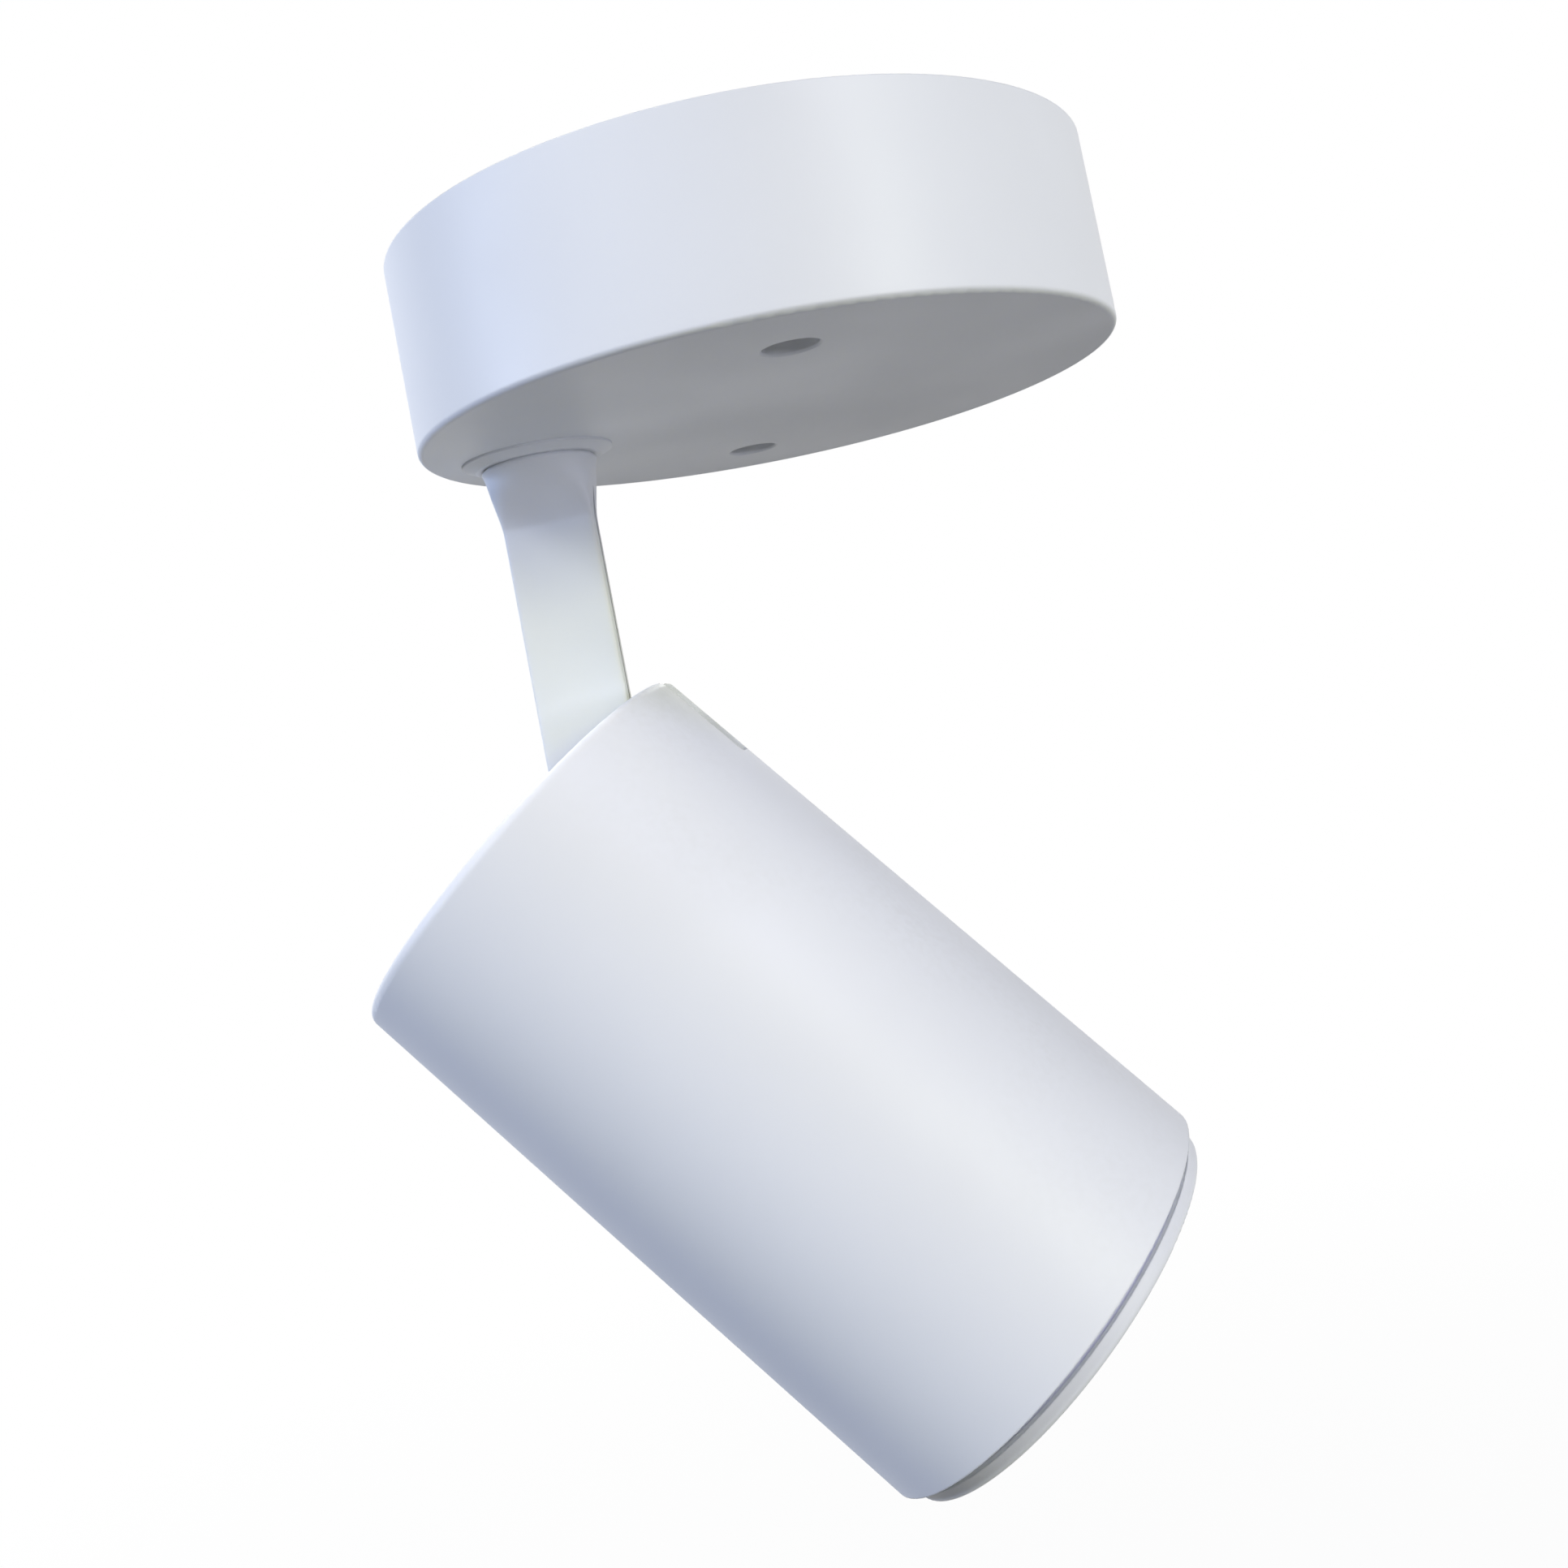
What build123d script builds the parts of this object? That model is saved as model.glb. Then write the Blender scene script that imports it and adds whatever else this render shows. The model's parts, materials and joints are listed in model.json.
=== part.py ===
"""Surface mounted ceiling spotlight, at real size in millimetres.

A round canopy holds the driver against the ceiling. An arm off to one side swivels in the canopy's
underside, and a tubular head tilts on a pivot screw at the arm's foot.

Frame: the ceiling is the plane z = 0, the canopy's axis is the Z axis, and the light hangs below.
The head is modelled as it hangs in use, tilted by tilt_rest from straight down towards +X.
"""
from build123d import *
import os
from math import atan2, cos, pi, radians, sin, sqrt, tan

os.makedirs("parts", exist_ok=True)

# ------------------------------------------------------------------ driving dimensions
# Canopy
canopy_d = 100.0
canopy_h = 26.4
canopy_wall = 1.8
canopy_face = 2.4          # thickness of the flat underside
canopy_edge_r = 0.8

# The two screws that hold the canopy to the ceiling plate, recessed in the underside
fix_inset = 16.8           # from the canopy's edge to each screw's axis
fix_angle = -78.7
fix_shank_d = 4.0
fix_head_d = 6.6
fix_head_h = 2.6
fix_head_r = 0.8
cross_l = 3.6              # cross recess in the screw's head
cross_w = 0.9
cross_depth = 1.6
recess_d = 7.4
recess_depth = 6.0
recess_chamfer = 0.3
post_wall = 1.6

# Ceiling plate and what it carries
plate_margin = 4.0         # from the plate's edge to the canopy's wall
plate_t = 1.5
slot_pitch = 56.0          # between the two slots for the ceiling screws
slot_w = 4.6
slot_l = 12.0
entry_d = 14.0             # hole for the mains cable's grommet
grommet_flange_w = 2.0
grommet_flange_t = 2.0
grommet_edge_r = 0.8
cable_d = 8.0
nut_d = 7.0
nut_l = 7.0
nut_flange_d = 9.4
nut_flange_t = 0.8
earth_at = (-16.0, 24.0)
earth_d = 4.0
earth_head_d = 8.0
earth_head_h = 2.6
earth_head_r = 0.8
earth_slot_w = 1.2
earth_slot_turn = 30
earth_washer_d = 9.2
washer_t = 0.8

# Terminal block
block_w = 14.0
block_h = 11.0
block_post_gap = 5.9       # to the nearer screw post of the canopy
block_rim_gap = 3.4        # from its outer corner to the canopy's wall
block_driver_gap = 3.0
block_corner_r = 1.0
way_w = 1.4                # ways between the poles
way_depth = 4.4
pole_d = 3.4
pole_rise = 2.5            # from the block's underside to the wire ways
terminal_screw_d = 2.8
terminal_screw_l = 3.0
terminal_screw_out = 1.2   # screw standing out of the block
terminal_slot_w = 0.6
terminal_slot_depth = 0.8

# Driver
driver_w = 34.0
driver_wall = 1.2
driver_lid_t = 1.4
lid_edge_r = 0.5
driver_corner_r = 3.0
driver_stop_gap = 7.7      # from the swivel's stop to the driver
driver_rim_gap = 2.9       # from the driver's far corners to the canopy's wall
pad_inset = 5.0
pad_t = 1.0
wiring_space = 5.1         # free height between the driver's lid and the ceiling plate
board_t = 1.2
board_corner_r = 0.8
board_lift = 1.0           # ribs under the driver's board
rib_w = 2.0
rib_inset = 3.0
board_play = 0.6           # round the driver's board
plug_depth = 5.0           # plug blocks at the board's edges, where the leads start
plug_w = 7.0
plug_margin = 2.0          # from the outer input leads' axes to the plug block's ends
core_l = 15.0              # transformer's end plates
core_w = 12.0
core_corner_r = 1.0
core_plate_t = 2.9
winding_l = 11.0
winding_w = 9.0
winding_corner_r = 3.0
transformer_gap = 1.1      # to the height of the plug blocks
capacitor_d = 8.0
small_capacitor_d = 6.4
capacitor_gap = 2.2
capacitor_edge_r = 0.6
output_lead_drop = 2.9     # from the lid's underside to the lower output lead
output_bend_r = 2.5

# Swivel
arm_inset = 15.3           # from the canopy's edge to the swivel axis
collar_d = 22.0
collar_foot_d = 18.4
collar_h = 1.2
collar_lip = 0.35
sleeve_d = 14.0
stem_d = 10.0
stem_bore_d = 5.0
stem_flat = 4.2            # from the swivel axis to the flat on the stem
friction_ring_d = 19.0
friction_ring_t = 0.8
stop_ring_d = 17.0
stop_ring_t = 1.2
stop_reach = 13.0          # from the swivel axis to the tip of the stop's tongue
stop_tongue_w = 2.0
stop_pin_r = 12.0          # from the swivel axis to the stop pin
stop_pin_d = 2.0
stop_pin_chamfer = 0.3
cone_washer_d = 17.0
cone_washer_t = 0.6
cone_washer_h = 1.2
stem_nut_af = 14.0
stem_nut_h = 5.0
stem_end = 1.2             # stem standing past its nut

# Arm
arm_top_d = 16.8
neck_h = 0.6               # full round height under the collar
slant_h = 7.8              # height of the slanted faces from the round top to the flat strap
slant_r = 4.0              # rounding at their foot
strap_w = 13.4
strap_t = 3.6
taper_h = 10.0             # height over which the arm's sides draw in to the strap
pivot_drop = 56.1          # from the canopy's underside to the tilt pivot
seam_chamfer = 0.35
groove_w = 4.4
groove_depth = 2.4
groove_cover_t = 0.8
groove_end = 5.5           # from the pivot to the groove's lower end
cover_end = 9.0            # from the pivot to the cover's lower end
lead_d = 1.2
lead_pitch = 1.8
lead_y = 0.2               # leads lie this far behind the swivel axis

# Head
tilt_rest = 39.1           # head's axis from straight down
head_d = 63.0
head_l = 95.0
head_wall = 1.4
head_rear_t = 2.5
head_rear_wall = 3.0       # side wall behind the shoulder
head_rear_r = 1.5
head_mouth_chamfer = 0.25
pivot_depth = 8.5          # from the head's rear face
pivot_rise = 9.2           # from the head's axis
shoulder_depth = 19.0
slot_side_gap = 1.0        # between the strap and each side of the head's slot
slot_end_gap = 0.6         # between the strap's edge and the slot's ends
slot_corner_r = 0.9

# Tilt pivot
pivot_d = 4.0
pivot_head_d = 7.0
pivot_head_h = 2.4
pivot_head_r = 0.7
pivot_socket_af = 2.5
pivot_socket_depth = 1.4
pivot_washer_d = 9.0
friction_washer_d = 12.6
friction_washer_t = 0.5
bracket_t = 2.0
bracket_w = 14.0
bracket_foot = 12.0
bracket_corner_r = 3.5
bracket_screw_pitch = 9.0
bracket_bend_gap = 1.4     # from the cheek to the heads of the foot's screws
spring_washer_d = 7.6
spring_washer_t = 1.0
spring_split_w = 0.6
spring_split_turn = 20
pivot_nut_af = 7.0
pivot_nut_h = 3.2
pivot_tip = 1.0            # screw standing past its nut
pivot_tip_chamfer = 0.4
m3_d = 3.0
m3_head_d = 5.5
m3_head_h = 2.0
m3_cross_l = 3.3
m3_cross_w = 0.7
m3_cross_depth = 1.2
bracket_screw_l = 8.0

# Heat sink and light source
sink_l = 31.0
sink_disc_t = 4.0
sink_core_d = 40.0
fin_count = 24
fin_t = 1.4
thermal_pad_t = 0.4
led_board_d = 40.0
led_board_t = 1.6
emitter_d = 14.5
emitter_t = 1.0
dam_w = 1.3
dam_h = 0.4
board_screw_r = 16.5
board_screw_count = 3
board_screw_l = 7.0
lead_way_r = 22.5          # from the head's axis to the leads that run between two fins
lead_start = 10.0          # from the head's rear face
lead_pad_r = 15.5          # where the leads end on the light board
lead_bend_r = 1.8

# Reflector, lens and front ring
holder_d = 25.0
holder_h = 4.9
ledge_h = 1.5
neck_r = 8.0
reflector_wall = 1.0
rim_w = 3.1                # flat rim round the reflector's mouth
rim_t = 1.2
sleeve_wall = 2.0
lens_t = 3.0
lens_edge = 0.6            # chamfer on the lens
gasket_t = 0.8
ring_l = 13.7              # depth of the front ring
ring_proud = 3.2           # front ring standing past the head's mouth
ring_gap = 0.3
ring_face_w = 2.2
ring_throat_w = 3.8        # from the ring's outside to its throat, at the lens
ring_front_r = 0.8
ring_line_w = 1.2          # shadow line round the ring, in front of the head's mouth
ring_line_depth = 1.2
seal_section_d = 1.5
seal_depth = 3.5           # from the front ring's rear face

# Clearances
run_play = 0.05            # radial, parts that turn in each other
seat_play = 0.03           # radial, screws in their threads and pins in their holes
fit_play = 0.1             # radial, parts pushed into a bore
part_gap = 0.5             # between parts that pass each other
touch_gap = 0.3            # between parts that only rest near each other

# ------------------------------------------------------------------ places worked out from them
inner_r = canopy_d / 2 - canopy_wall
under_z = -canopy_h
floor_z = under_z + canopy_face
plate_z = -plate_t
collar_z = under_z - collar_h
pivot_z = under_z - pivot_drop
arm_offset = canopy_d / 2 - arm_inset
fix_r = canopy_d / 2 - fix_inset
fix_points = [
    (side * fix_r * cos(radians(fix_angle)), side * fix_r * sin(radians(fix_angle))) for side in (1, -1)
]
post_d = recess_d + 2 * post_wall
post_top_z = -nut_l
arm_end_z = pivot_z - strap_w / 2
neck_z = collar_z - neck_h
slant_end_z = neck_z - slant_h
strap_top_z = slant_end_z - slant_r * tan(atan2((arm_top_d - strap_t) / 2, slant_h) / 2)

friction_ring_z = floor_z + friction_ring_t
stop_ring_z = friction_ring_z + stop_ring_t
cone_washer_z = stop_ring_z + cone_washer_h
stem_nut_z = cone_washer_z + stem_nut_h
stem_top_z = stem_nut_z + stem_end

driver_bottom = floor_z + pad_t
driver_top = plate_z - wiring_space
driver_left = -arm_offset + stop_reach + driver_stop_gap
driver_right = sqrt((inner_r - driver_rim_gap) ** 2 - (driver_w / 2) ** 2)
driver_l = driver_right - driver_left
driver_mid = (driver_right + driver_left) / 2
driver_board_z = driver_bottom + driver_wall + board_lift
driver_board_top = driver_board_z + board_t

block_y = driver_w / 2 + block_driver_gap + block_w / 2
block_left = fix_points[1][0] + post_d / 2 + block_post_gap
block_right = sqrt((inner_r - block_rim_gap) ** 2 - (block_y + block_w / 2) ** 2)
block_x = (block_left + block_right) / 2
block_l = block_right - block_left
block_bottom = plate_z - block_h
pole_pitch = block_l / 3
pole_z = block_bottom + pole_rise

swivel_axis = Axis((-arm_offset, 0, 0), (0, 0, 1))
arm_front = Plane(origin=(-arm_offset, 0, 0), x_dir=(1, 0, 0), z_dir=(0, -1, 0))
arm_side = Plane(origin=(-arm_offset, 0, 0), x_dir=(0, 1, 0), z_dir=(1, 0, 0))

# Head's own directions: along its axis to the front, and square to it towards the slotted side
axis_dir = Vector(sin(radians(tilt_rest)), 0, -cos(radians(tilt_rest)))
rise_dir = Vector(cos(radians(tilt_rest)), 0, sin(radians(tilt_rest)))
pivot_at = Vector(-arm_offset, 0, pivot_z)
head_rear = pivot_at - axis_dir * pivot_depth - rise_dir * pivot_rise
head_axis = Axis(head_rear, axis_dir)
head_plane = Plane(origin=head_rear, x_dir=rise_dir, z_dir=axis_dir)      # local y is world -Y
head_section = Plane(origin=head_rear, x_dir=rise_dir, z_dir=(0, 1, 0))   # (radius, depth)
pivot_plane = Plane(origin=pivot_at, x_dir=rise_dir, z_dir=(0, 1, 0))     # (rise, depth), faces +Y

bore_r = head_d / 2 - head_wall
cavity_r = head_d / 2 - head_rear_wall
sink_front = shoulder_depth + sink_l
board_back = sink_front + thermal_pad_t
board_front = board_back + led_board_t
reflector_back = board_front + ledge_h
bell_back = board_front + holder_h
ring_front = head_l + ring_proud
ring_back = ring_front - ring_l
lens_front = ring_back - gasket_t
rim_front = lens_front - lens_t
rim_back = rim_front - rim_t
bell_l = rim_back - bell_back
ring_r = bore_r - ring_gap
aperture_r = ring_r - ring_face_w
throat_r = ring_r - ring_throat_w
optic_r = bore_r - fit_play - part_gap
mouth_r = optic_r - rim_w


def outline(plane, points):
    """A closed straight-sided outline of points on a plane."""
    with BuildSketch(plane, mode=Mode.PRIVATE) as sketch:
        with BuildLine():
            Polyline(*points, close=True)
        make_face()
    return sketch.sketch


def disc(plane, radius, hole_r=0.0):
    """A round or ring-shaped outline on a plane."""
    with BuildSketch(plane, mode=Mode.PRIVATE) as sketch:
        Circle(radius)
        if hole_r:
            Circle(hole_r, mode=Mode.SUBTRACT)
    return sketch.sketch


def swivel_plane(height):
    """The level plane at a height, centred on the swivel axis."""
    return Plane.XY.offset(height) * Location((-arm_offset, 0, 0))


def bell_r(depth):
    """Inner radius of the reflector at a depth into its bell: a parabola from neck to mouth."""
    return sqrt(neck_r**2 + (mouth_r**2 - neck_r**2) * depth / bell_l)


# ------------------------------------------------------------------ canopy and ceiling plate
with BuildPart() as canopy_shell:
    extrude(disc(Plane.XY.offset(under_z), canopy_d / 2), amount=canopy_h)
    fillet(canopy_shell.edges().group_by(Axis.Z)[0], canopy_edge_r)
    extrude(disc(Plane.XY.offset(floor_z), inner_r), amount=canopy_h, mode=Mode.SUBTRACT)
    with BuildSketch(Plane.XY.offset(floor_z)):
        with Locations(*fix_points):
            Circle(post_d / 2)
    extrude(amount=post_top_z - floor_z)
    with Locations(*[Plane(origin=(x, y, under_z), z_dir=(0, 0, -1)) for x, y in fix_points]):
        CounterBoreHole(fix_shank_d / 2 + fit_play, recess_d / 2, recess_depth)
    chamfer(
        canopy_shell.edges().filter_by(GeomType.CIRCLE).filter_by(
            lambda edge: abs(edge.radius - recess_d / 2) < 1e-6 and abs(edge.center().Z - under_z) < 1e-6
        ),
        recess_chamfer,
    )
    # Bore for the swivel collar's sleeve and blind hole for the stop pin
    extrude(disc(swivel_plane(under_z), sleeve_d / 2 + seat_play), amount=canopy_face, mode=Mode.SUBTRACT)
    with BuildSketch(Plane.XY.offset(floor_z)):
        with Locations((-arm_offset + stop_pin_r, 0)):
            Circle(stop_pin_d / 2 + seat_play)
    extrude(amount=-canopy_face / 2, mode=Mode.SUBTRACT)

with BuildPart() as ceiling_plate:
    with BuildSketch(Plane.XY.offset(plate_z)):
        Circle(inner_r - plate_margin)
        Circle(entry_d / 2, mode=Mode.SUBTRACT)
        with Locations((-slot_pitch / 2, 0), (slot_pitch / 2, 0)):
            SlotOverall(slot_l, slot_w, mode=Mode.SUBTRACT)
        with Locations(*fix_points):
            Circle(nut_d / 2 + seat_play, mode=Mode.SUBTRACT)
        with Locations(earth_at):
            Circle(earth_d / 2 + seat_play, mode=Mode.SUBTRACT)
    extrude(amount=plate_t)

with BuildPart() as plate_nuts:
    with BuildSketch(Plane.XY.offset(-nut_l)):
        with Locations(*fix_points):
            Circle(nut_d / 2)
    extrude(amount=nut_l)
    with BuildSketch(Plane.XY.offset(plate_z)):
        with Locations(*fix_points):
            Circle(nut_flange_d / 2)
    extrude(amount=-nut_flange_t)
    with BuildSketch(Plane.XY.offset(-nut_l)):
        with Locations(*fix_points):
            Circle(fix_shank_d / 2 + seat_play)
    extrude(amount=nut_l, mode=Mode.SUBTRACT)

recess_z = under_z + recess_depth
with BuildPart() as canopy_screws:
    with BuildSketch(Plane.XY.offset(recess_z)):
        with Locations(*fix_points):
            Circle(fix_head_d / 2)
    extrude(amount=-fix_head_h)
    fillet(canopy_screws.edges().group_by(Axis.Z)[0], fix_head_r)
    with BuildSketch(Plane.XY.offset(recess_z)):
        with Locations(*fix_points):
            Circle(fix_shank_d / 2)
    extrude(amount=-part_gap - recess_z)
    # Cross recess
    with BuildSketch(Plane.XY.offset(recess_z - fix_head_h)):
        with Locations(*fix_points):
            Rectangle(cross_l, cross_w)
            Rectangle(cross_w, cross_l)
    extrude(amount=cross_depth, mode=Mode.SUBTRACT)

with BuildPart() as cable_grommet:
    extrude(disc(Plane.XY.offset(plate_z), entry_d / 2 - run_play, cable_d / 2), amount=plate_t)
    extrude(
        disc(Plane.XY.offset(plate_z), entry_d / 2 + grommet_flange_w, cable_d / 2), amount=-grommet_flange_t
    )
    fillet(cable_grommet.edges().group_by(Axis.Z)[0].sort_by(SortBy.RADIUS)[-1], grommet_edge_r)

with BuildPart() as earth_washer:
    with BuildSketch(Plane.XY.offset(plate_z)):
        with Locations(earth_at):
            Circle(earth_washer_d / 2)
            Circle(earth_d / 2 + run_play, mode=Mode.SUBTRACT)
    extrude(amount=-washer_t)

with BuildPart() as earth_screw:
    with BuildSketch(Plane.XY.offset(plate_z - washer_t)):
        with Locations(earth_at):
            Circle(earth_head_d / 2)
    extrude(amount=-earth_head_h)
    fillet(earth_screw.edges().group_by(Axis.Z)[0], earth_head_r)
    with BuildSketch(Plane.XY.offset(plate_z - washer_t)):
        with Locations(earth_at):
            Circle(earth_d / 2)
    extrude(amount=plate_t + washer_t)
    with BuildSketch(Plane.XY.offset(plate_z - washer_t - earth_head_h)):
        with Locations(earth_at):
            Rectangle(earth_head_d, earth_slot_w, rotation=earth_slot_turn)
    extrude(amount=earth_slot_w, mode=Mode.SUBTRACT)

# ------------------------------------------------------------------ terminal block
pole_xs = [block_x + pole_pitch * step for step in (-1, 0, 1)]
screw_ys = [block_y - block_w / 4, block_y + block_w / 4]
screw_spots = [(x, y) for x in pole_xs for y in screw_ys]

with BuildPart() as terminal_block:
    with BuildSketch(Plane.XY.offset(block_bottom)):
        with Locations((block_x, block_y)):
            RectangleRounded(block_l, block_w, block_corner_r)
    extrude(amount=block_h)
    # Ways between the poles
    with BuildSketch(Plane.XY.offset(block_bottom)):
        with Locations((block_x - pole_pitch / 2, block_y), (block_x + pole_pitch / 2, block_y)):
            Rectangle(way_w, block_w)
    extrude(amount=way_depth, mode=Mode.SUBTRACT)
    # Wire ways through the block, along Y, and screw wells from below
    with BuildSketch(Plane.XZ.offset(-block_y - block_w / 2)):
        with Locations(*[(x, pole_z) for x in pole_xs]):
            Circle(pole_d / 2)
    extrude(amount=block_w, mode=Mode.SUBTRACT)
    with BuildSketch(Plane.XY.offset(block_bottom)):
        with Locations(*screw_spots):
            Circle(terminal_screw_d / 2 + seat_play)
    extrude(amount=pole_z - block_bottom, mode=Mode.SUBTRACT)

with BuildPart() as terminal_screws:
    with BuildSketch(Plane.XY.offset(block_bottom - terminal_screw_out)):
        with Locations(*screw_spots):
            Circle(terminal_screw_d / 2)
    extrude(amount=terminal_screw_l)
    with BuildSketch(Plane.XY.offset(block_bottom - terminal_screw_out)):
        with Locations(*screw_spots):
            Rectangle(terminal_screw_d, terminal_slot_w)
    extrude(amount=terminal_slot_depth, mode=Mode.SUBTRACT)

# ------------------------------------------------------------------ driver
case_h = driver_top - driver_lid_t - driver_bottom
inside_l = driver_l - 2 * driver_wall
inside_w = driver_w - 2 * driver_wall
board_l = inside_l - 2 * board_play
board_w = inside_w - 2 * board_play
lid_z = driver_top - driver_lid_t
lead_exit_zs = [lid_z - output_lead_drop, lid_z - output_lead_drop + lead_pitch]
input_xs = pole_xs[:2]
connector_h = lid_z - touch_gap - driver_board_top

with BuildPart() as driver_pad:
    with BuildSketch(Plane.XY.offset(floor_z)):
        with Locations((driver_mid, 0)):
            RectangleRounded(driver_l - 2 * pad_inset, driver_w - 2 * pad_inset, driver_corner_r)
    extrude(amount=pad_t)

with BuildPart() as driver_case:
    with BuildSketch(Plane.XY.offset(driver_bottom)):
        with Locations((driver_mid, 0)):
            RectangleRounded(driver_l, driver_w, driver_corner_r)
    extrude(amount=case_h)
    with BuildSketch(Plane.XY.offset(driver_bottom + driver_wall)):
        with Locations((driver_mid, 0)):
            RectangleRounded(inside_l, inside_w, driver_corner_r - driver_wall)
    extrude(amount=case_h, mode=Mode.SUBTRACT)
    # Ribs that carry the board
    with BuildSketch(Plane.XY.offset(driver_bottom + driver_wall)):
        with Locations((driver_mid - board_l / 3, 0), (driver_mid + board_l / 3, 0)):
            Rectangle(rib_w, inside_w - 2 * rib_inset)
    extrude(amount=board_lift)
    # Holes for the leads: towards the swivel, and towards the terminal block
    with BuildSketch(Plane.YZ.offset(driver_left)):
        with Locations(*[(lead_y, z) for z in lead_exit_zs]):
            Circle(lead_d / 2 + run_play)
    extrude(amount=driver_wall, mode=Mode.SUBTRACT)
    with BuildSketch(Plane.XZ.offset(-driver_w / 2)):
        with Locations(*[(x, pole_z) for x in input_xs]):
            Circle(lead_d / 2 + run_play)
    extrude(amount=driver_wall, mode=Mode.SUBTRACT)

with BuildPart() as driver_lid:
    with BuildSketch(Plane.XY.offset(lid_z)):
        with Locations((driver_mid, 0)):
            RectangleRounded(driver_l, driver_w, driver_corner_r)
    extrude(amount=driver_lid_t)
    fillet(driver_lid.edges().group_by(Axis.Z)[-1], lid_edge_r)

with BuildPart() as driver_board:
    with BuildSketch(Plane.XY.offset(driver_board_z)):
        with Locations((driver_mid, 0)):
            RectangleRounded(board_l, board_w, board_corner_r)
    extrude(amount=board_t)

plug_face_x = driver_left + driver_wall + board_play
plug_face_y = driver_w / 2 - driver_wall - board_play
with BuildPart() as driver_plugs:
    with BuildSketch(Plane.XY.offset(driver_board_top)):
        with Locations((plug_face_x + plug_depth / 2, lead_y)):
            Rectangle(plug_depth, plug_w)
        with Locations(((input_xs[0] + input_xs[1]) / 2, plug_face_y - plug_depth / 2)):
            Rectangle(pole_pitch + 2 * plug_margin, plug_depth)
    extrude(amount=connector_h)

# A capacitor, the transformer and a small capacitor stand in a row on the board, evenly spaced
row_gap = (board_l - plug_depth - capacitor_d - core_l - small_capacitor_d) / 4
capacitor_x = plug_face_x + plug_depth + row_gap + capacitor_d / 2
core_x = capacitor_x + capacitor_d / 2 + row_gap + core_l / 2
small_capacitor_x = core_x + core_l / 2 + row_gap + small_capacitor_d / 2
row_y = -inside_w / 5
transformer_top = driver_board_top + connector_h - transformer_gap
with BuildPart() as driver_transformer:
    with BuildSketch(Plane.XY.offset(driver_board_top), Plane.XY.offset(transformer_top - core_plate_t)):
        with Locations((core_x, row_y)):
            RectangleRounded(core_l, core_w, core_corner_r)
    extrude(amount=core_plate_t)
    with BuildSketch(Plane.XY.offset(driver_board_top + core_plate_t)):
        with Locations((core_x, row_y)):
            RectangleRounded(winding_l, winding_w, winding_corner_r)
    extrude(amount=transformer_top - driver_board_top - 2 * core_plate_t)

with BuildPart() as driver_capacitors:
    with BuildSketch(Plane.XY.offset(driver_board_top)):
        with Locations((capacitor_x, row_y)):
            Circle(capacitor_d / 2)
        with Locations((small_capacitor_x, row_y)):
            Circle(small_capacitor_d / 2)
    extrude(amount=connector_h - capacitor_gap)
    fillet(driver_capacitors.edges().group_by(Axis.Z)[-1], capacitor_edge_r)

with BuildPart() as input_leads:
    with BuildSketch(Plane.XZ.offset(-plug_face_y)):
        with Locations(*[(x, pole_z) for x in input_xs]):
            Circle(lead_d / 2)
    extrude(amount=-(block_y - plug_face_y))

# Two leads run from the driver to the swivel axis and turn down into the hollow stem
with BuildPart() as output_leads:
    for exit_z, side in zip(lead_exit_zs, (1, -1)):
        end_x = -arm_offset + side * lead_pitch / 2
        with BuildLine(Plane.XZ.offset(-lead_y)) as route:
            FilletPolyline(
                (plug_face_x, exit_z), (end_x, exit_z), (end_x, stem_top_z), radius=output_bend_r
            )
        with BuildSketch(Plane.YZ.offset(plug_face_x)):
            with Locations((lead_y, exit_z)):
                Circle(lead_d / 2)
        sweep(path=route.wires()[0])

# ------------------------------------------------------------------ swivel
with BuildPart() as swivel_collar:
    revolve(
        outline(
            arm_front,
            [
                (stem_d / 2 + run_play, floor_z),
                (sleeve_d / 2, floor_z),
                (sleeve_d / 2, under_z),
                (collar_d / 2, under_z),
                (collar_d / 2, under_z - collar_lip),
                (collar_foot_d / 2, collar_z),
                (stem_d / 2 + run_play, collar_z),
            ],
        ),
        axis=swivel_axis,
    )

stop_pin_foot = floor_z - canopy_face / 2
with BuildPart() as stop_pin:
    with BuildSketch(Plane.XY.offset(stop_pin_foot)):
        with Locations((-arm_offset + stop_pin_r, 0)):
            Circle(stop_pin_d / 2)
    extrude(amount=stop_ring_z + part_gap - stop_pin_foot)
    chamfer(stop_pin.edges().group_by(Axis.Z)[-1], stop_pin_chamfer)

with BuildPart() as friction_ring:
    extrude(disc(swivel_plane(floor_z), friction_ring_d / 2, stem_d / 2 + run_play), amount=friction_ring_t)

with BuildPart() as stop_ring:
    with BuildSketch(swivel_plane(friction_ring_z)):
        Circle(stop_ring_d / 2)
        with Locations((-stop_reach / 2, 0)):
            Rectangle(stop_reach, stop_tongue_w)
        Circle(stem_d / 2 + run_play, mode=Mode.SUBTRACT)
        # Flat that keys the ring to the stem
        with Locations((-stem_flat - run_play - stem_d / 4, 0)):
            Rectangle(stem_d / 2, stem_d)
        with Locations((-stop_reach / 2, 0)):
            Rectangle(stop_reach, 2 * stop_reach, mode=Mode.INTERSECT)
    extrude(amount=stop_ring_t)

with BuildPart() as cone_washer:
    revolve(
        outline(
            arm_front,
            [
                (stem_d / 2 + run_play, cone_washer_z - cone_washer_t),
                (stem_d / 2 + run_play, cone_washer_z),
                (cone_washer_d / 2, stop_ring_z + cone_washer_t),
                (cone_washer_d / 2, stop_ring_z),
            ],
        ),
        axis=swivel_axis,
    )

with BuildPart() as stem_nut:
    with BuildSketch(swivel_plane(cone_washer_z)):
        RegularPolygon(stem_nut_af / 2, 6, major_radius=False)
        Circle(stem_d / 2 + seat_play, mode=Mode.SUBTRACT)
    extrude(amount=stem_nut_h)

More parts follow.
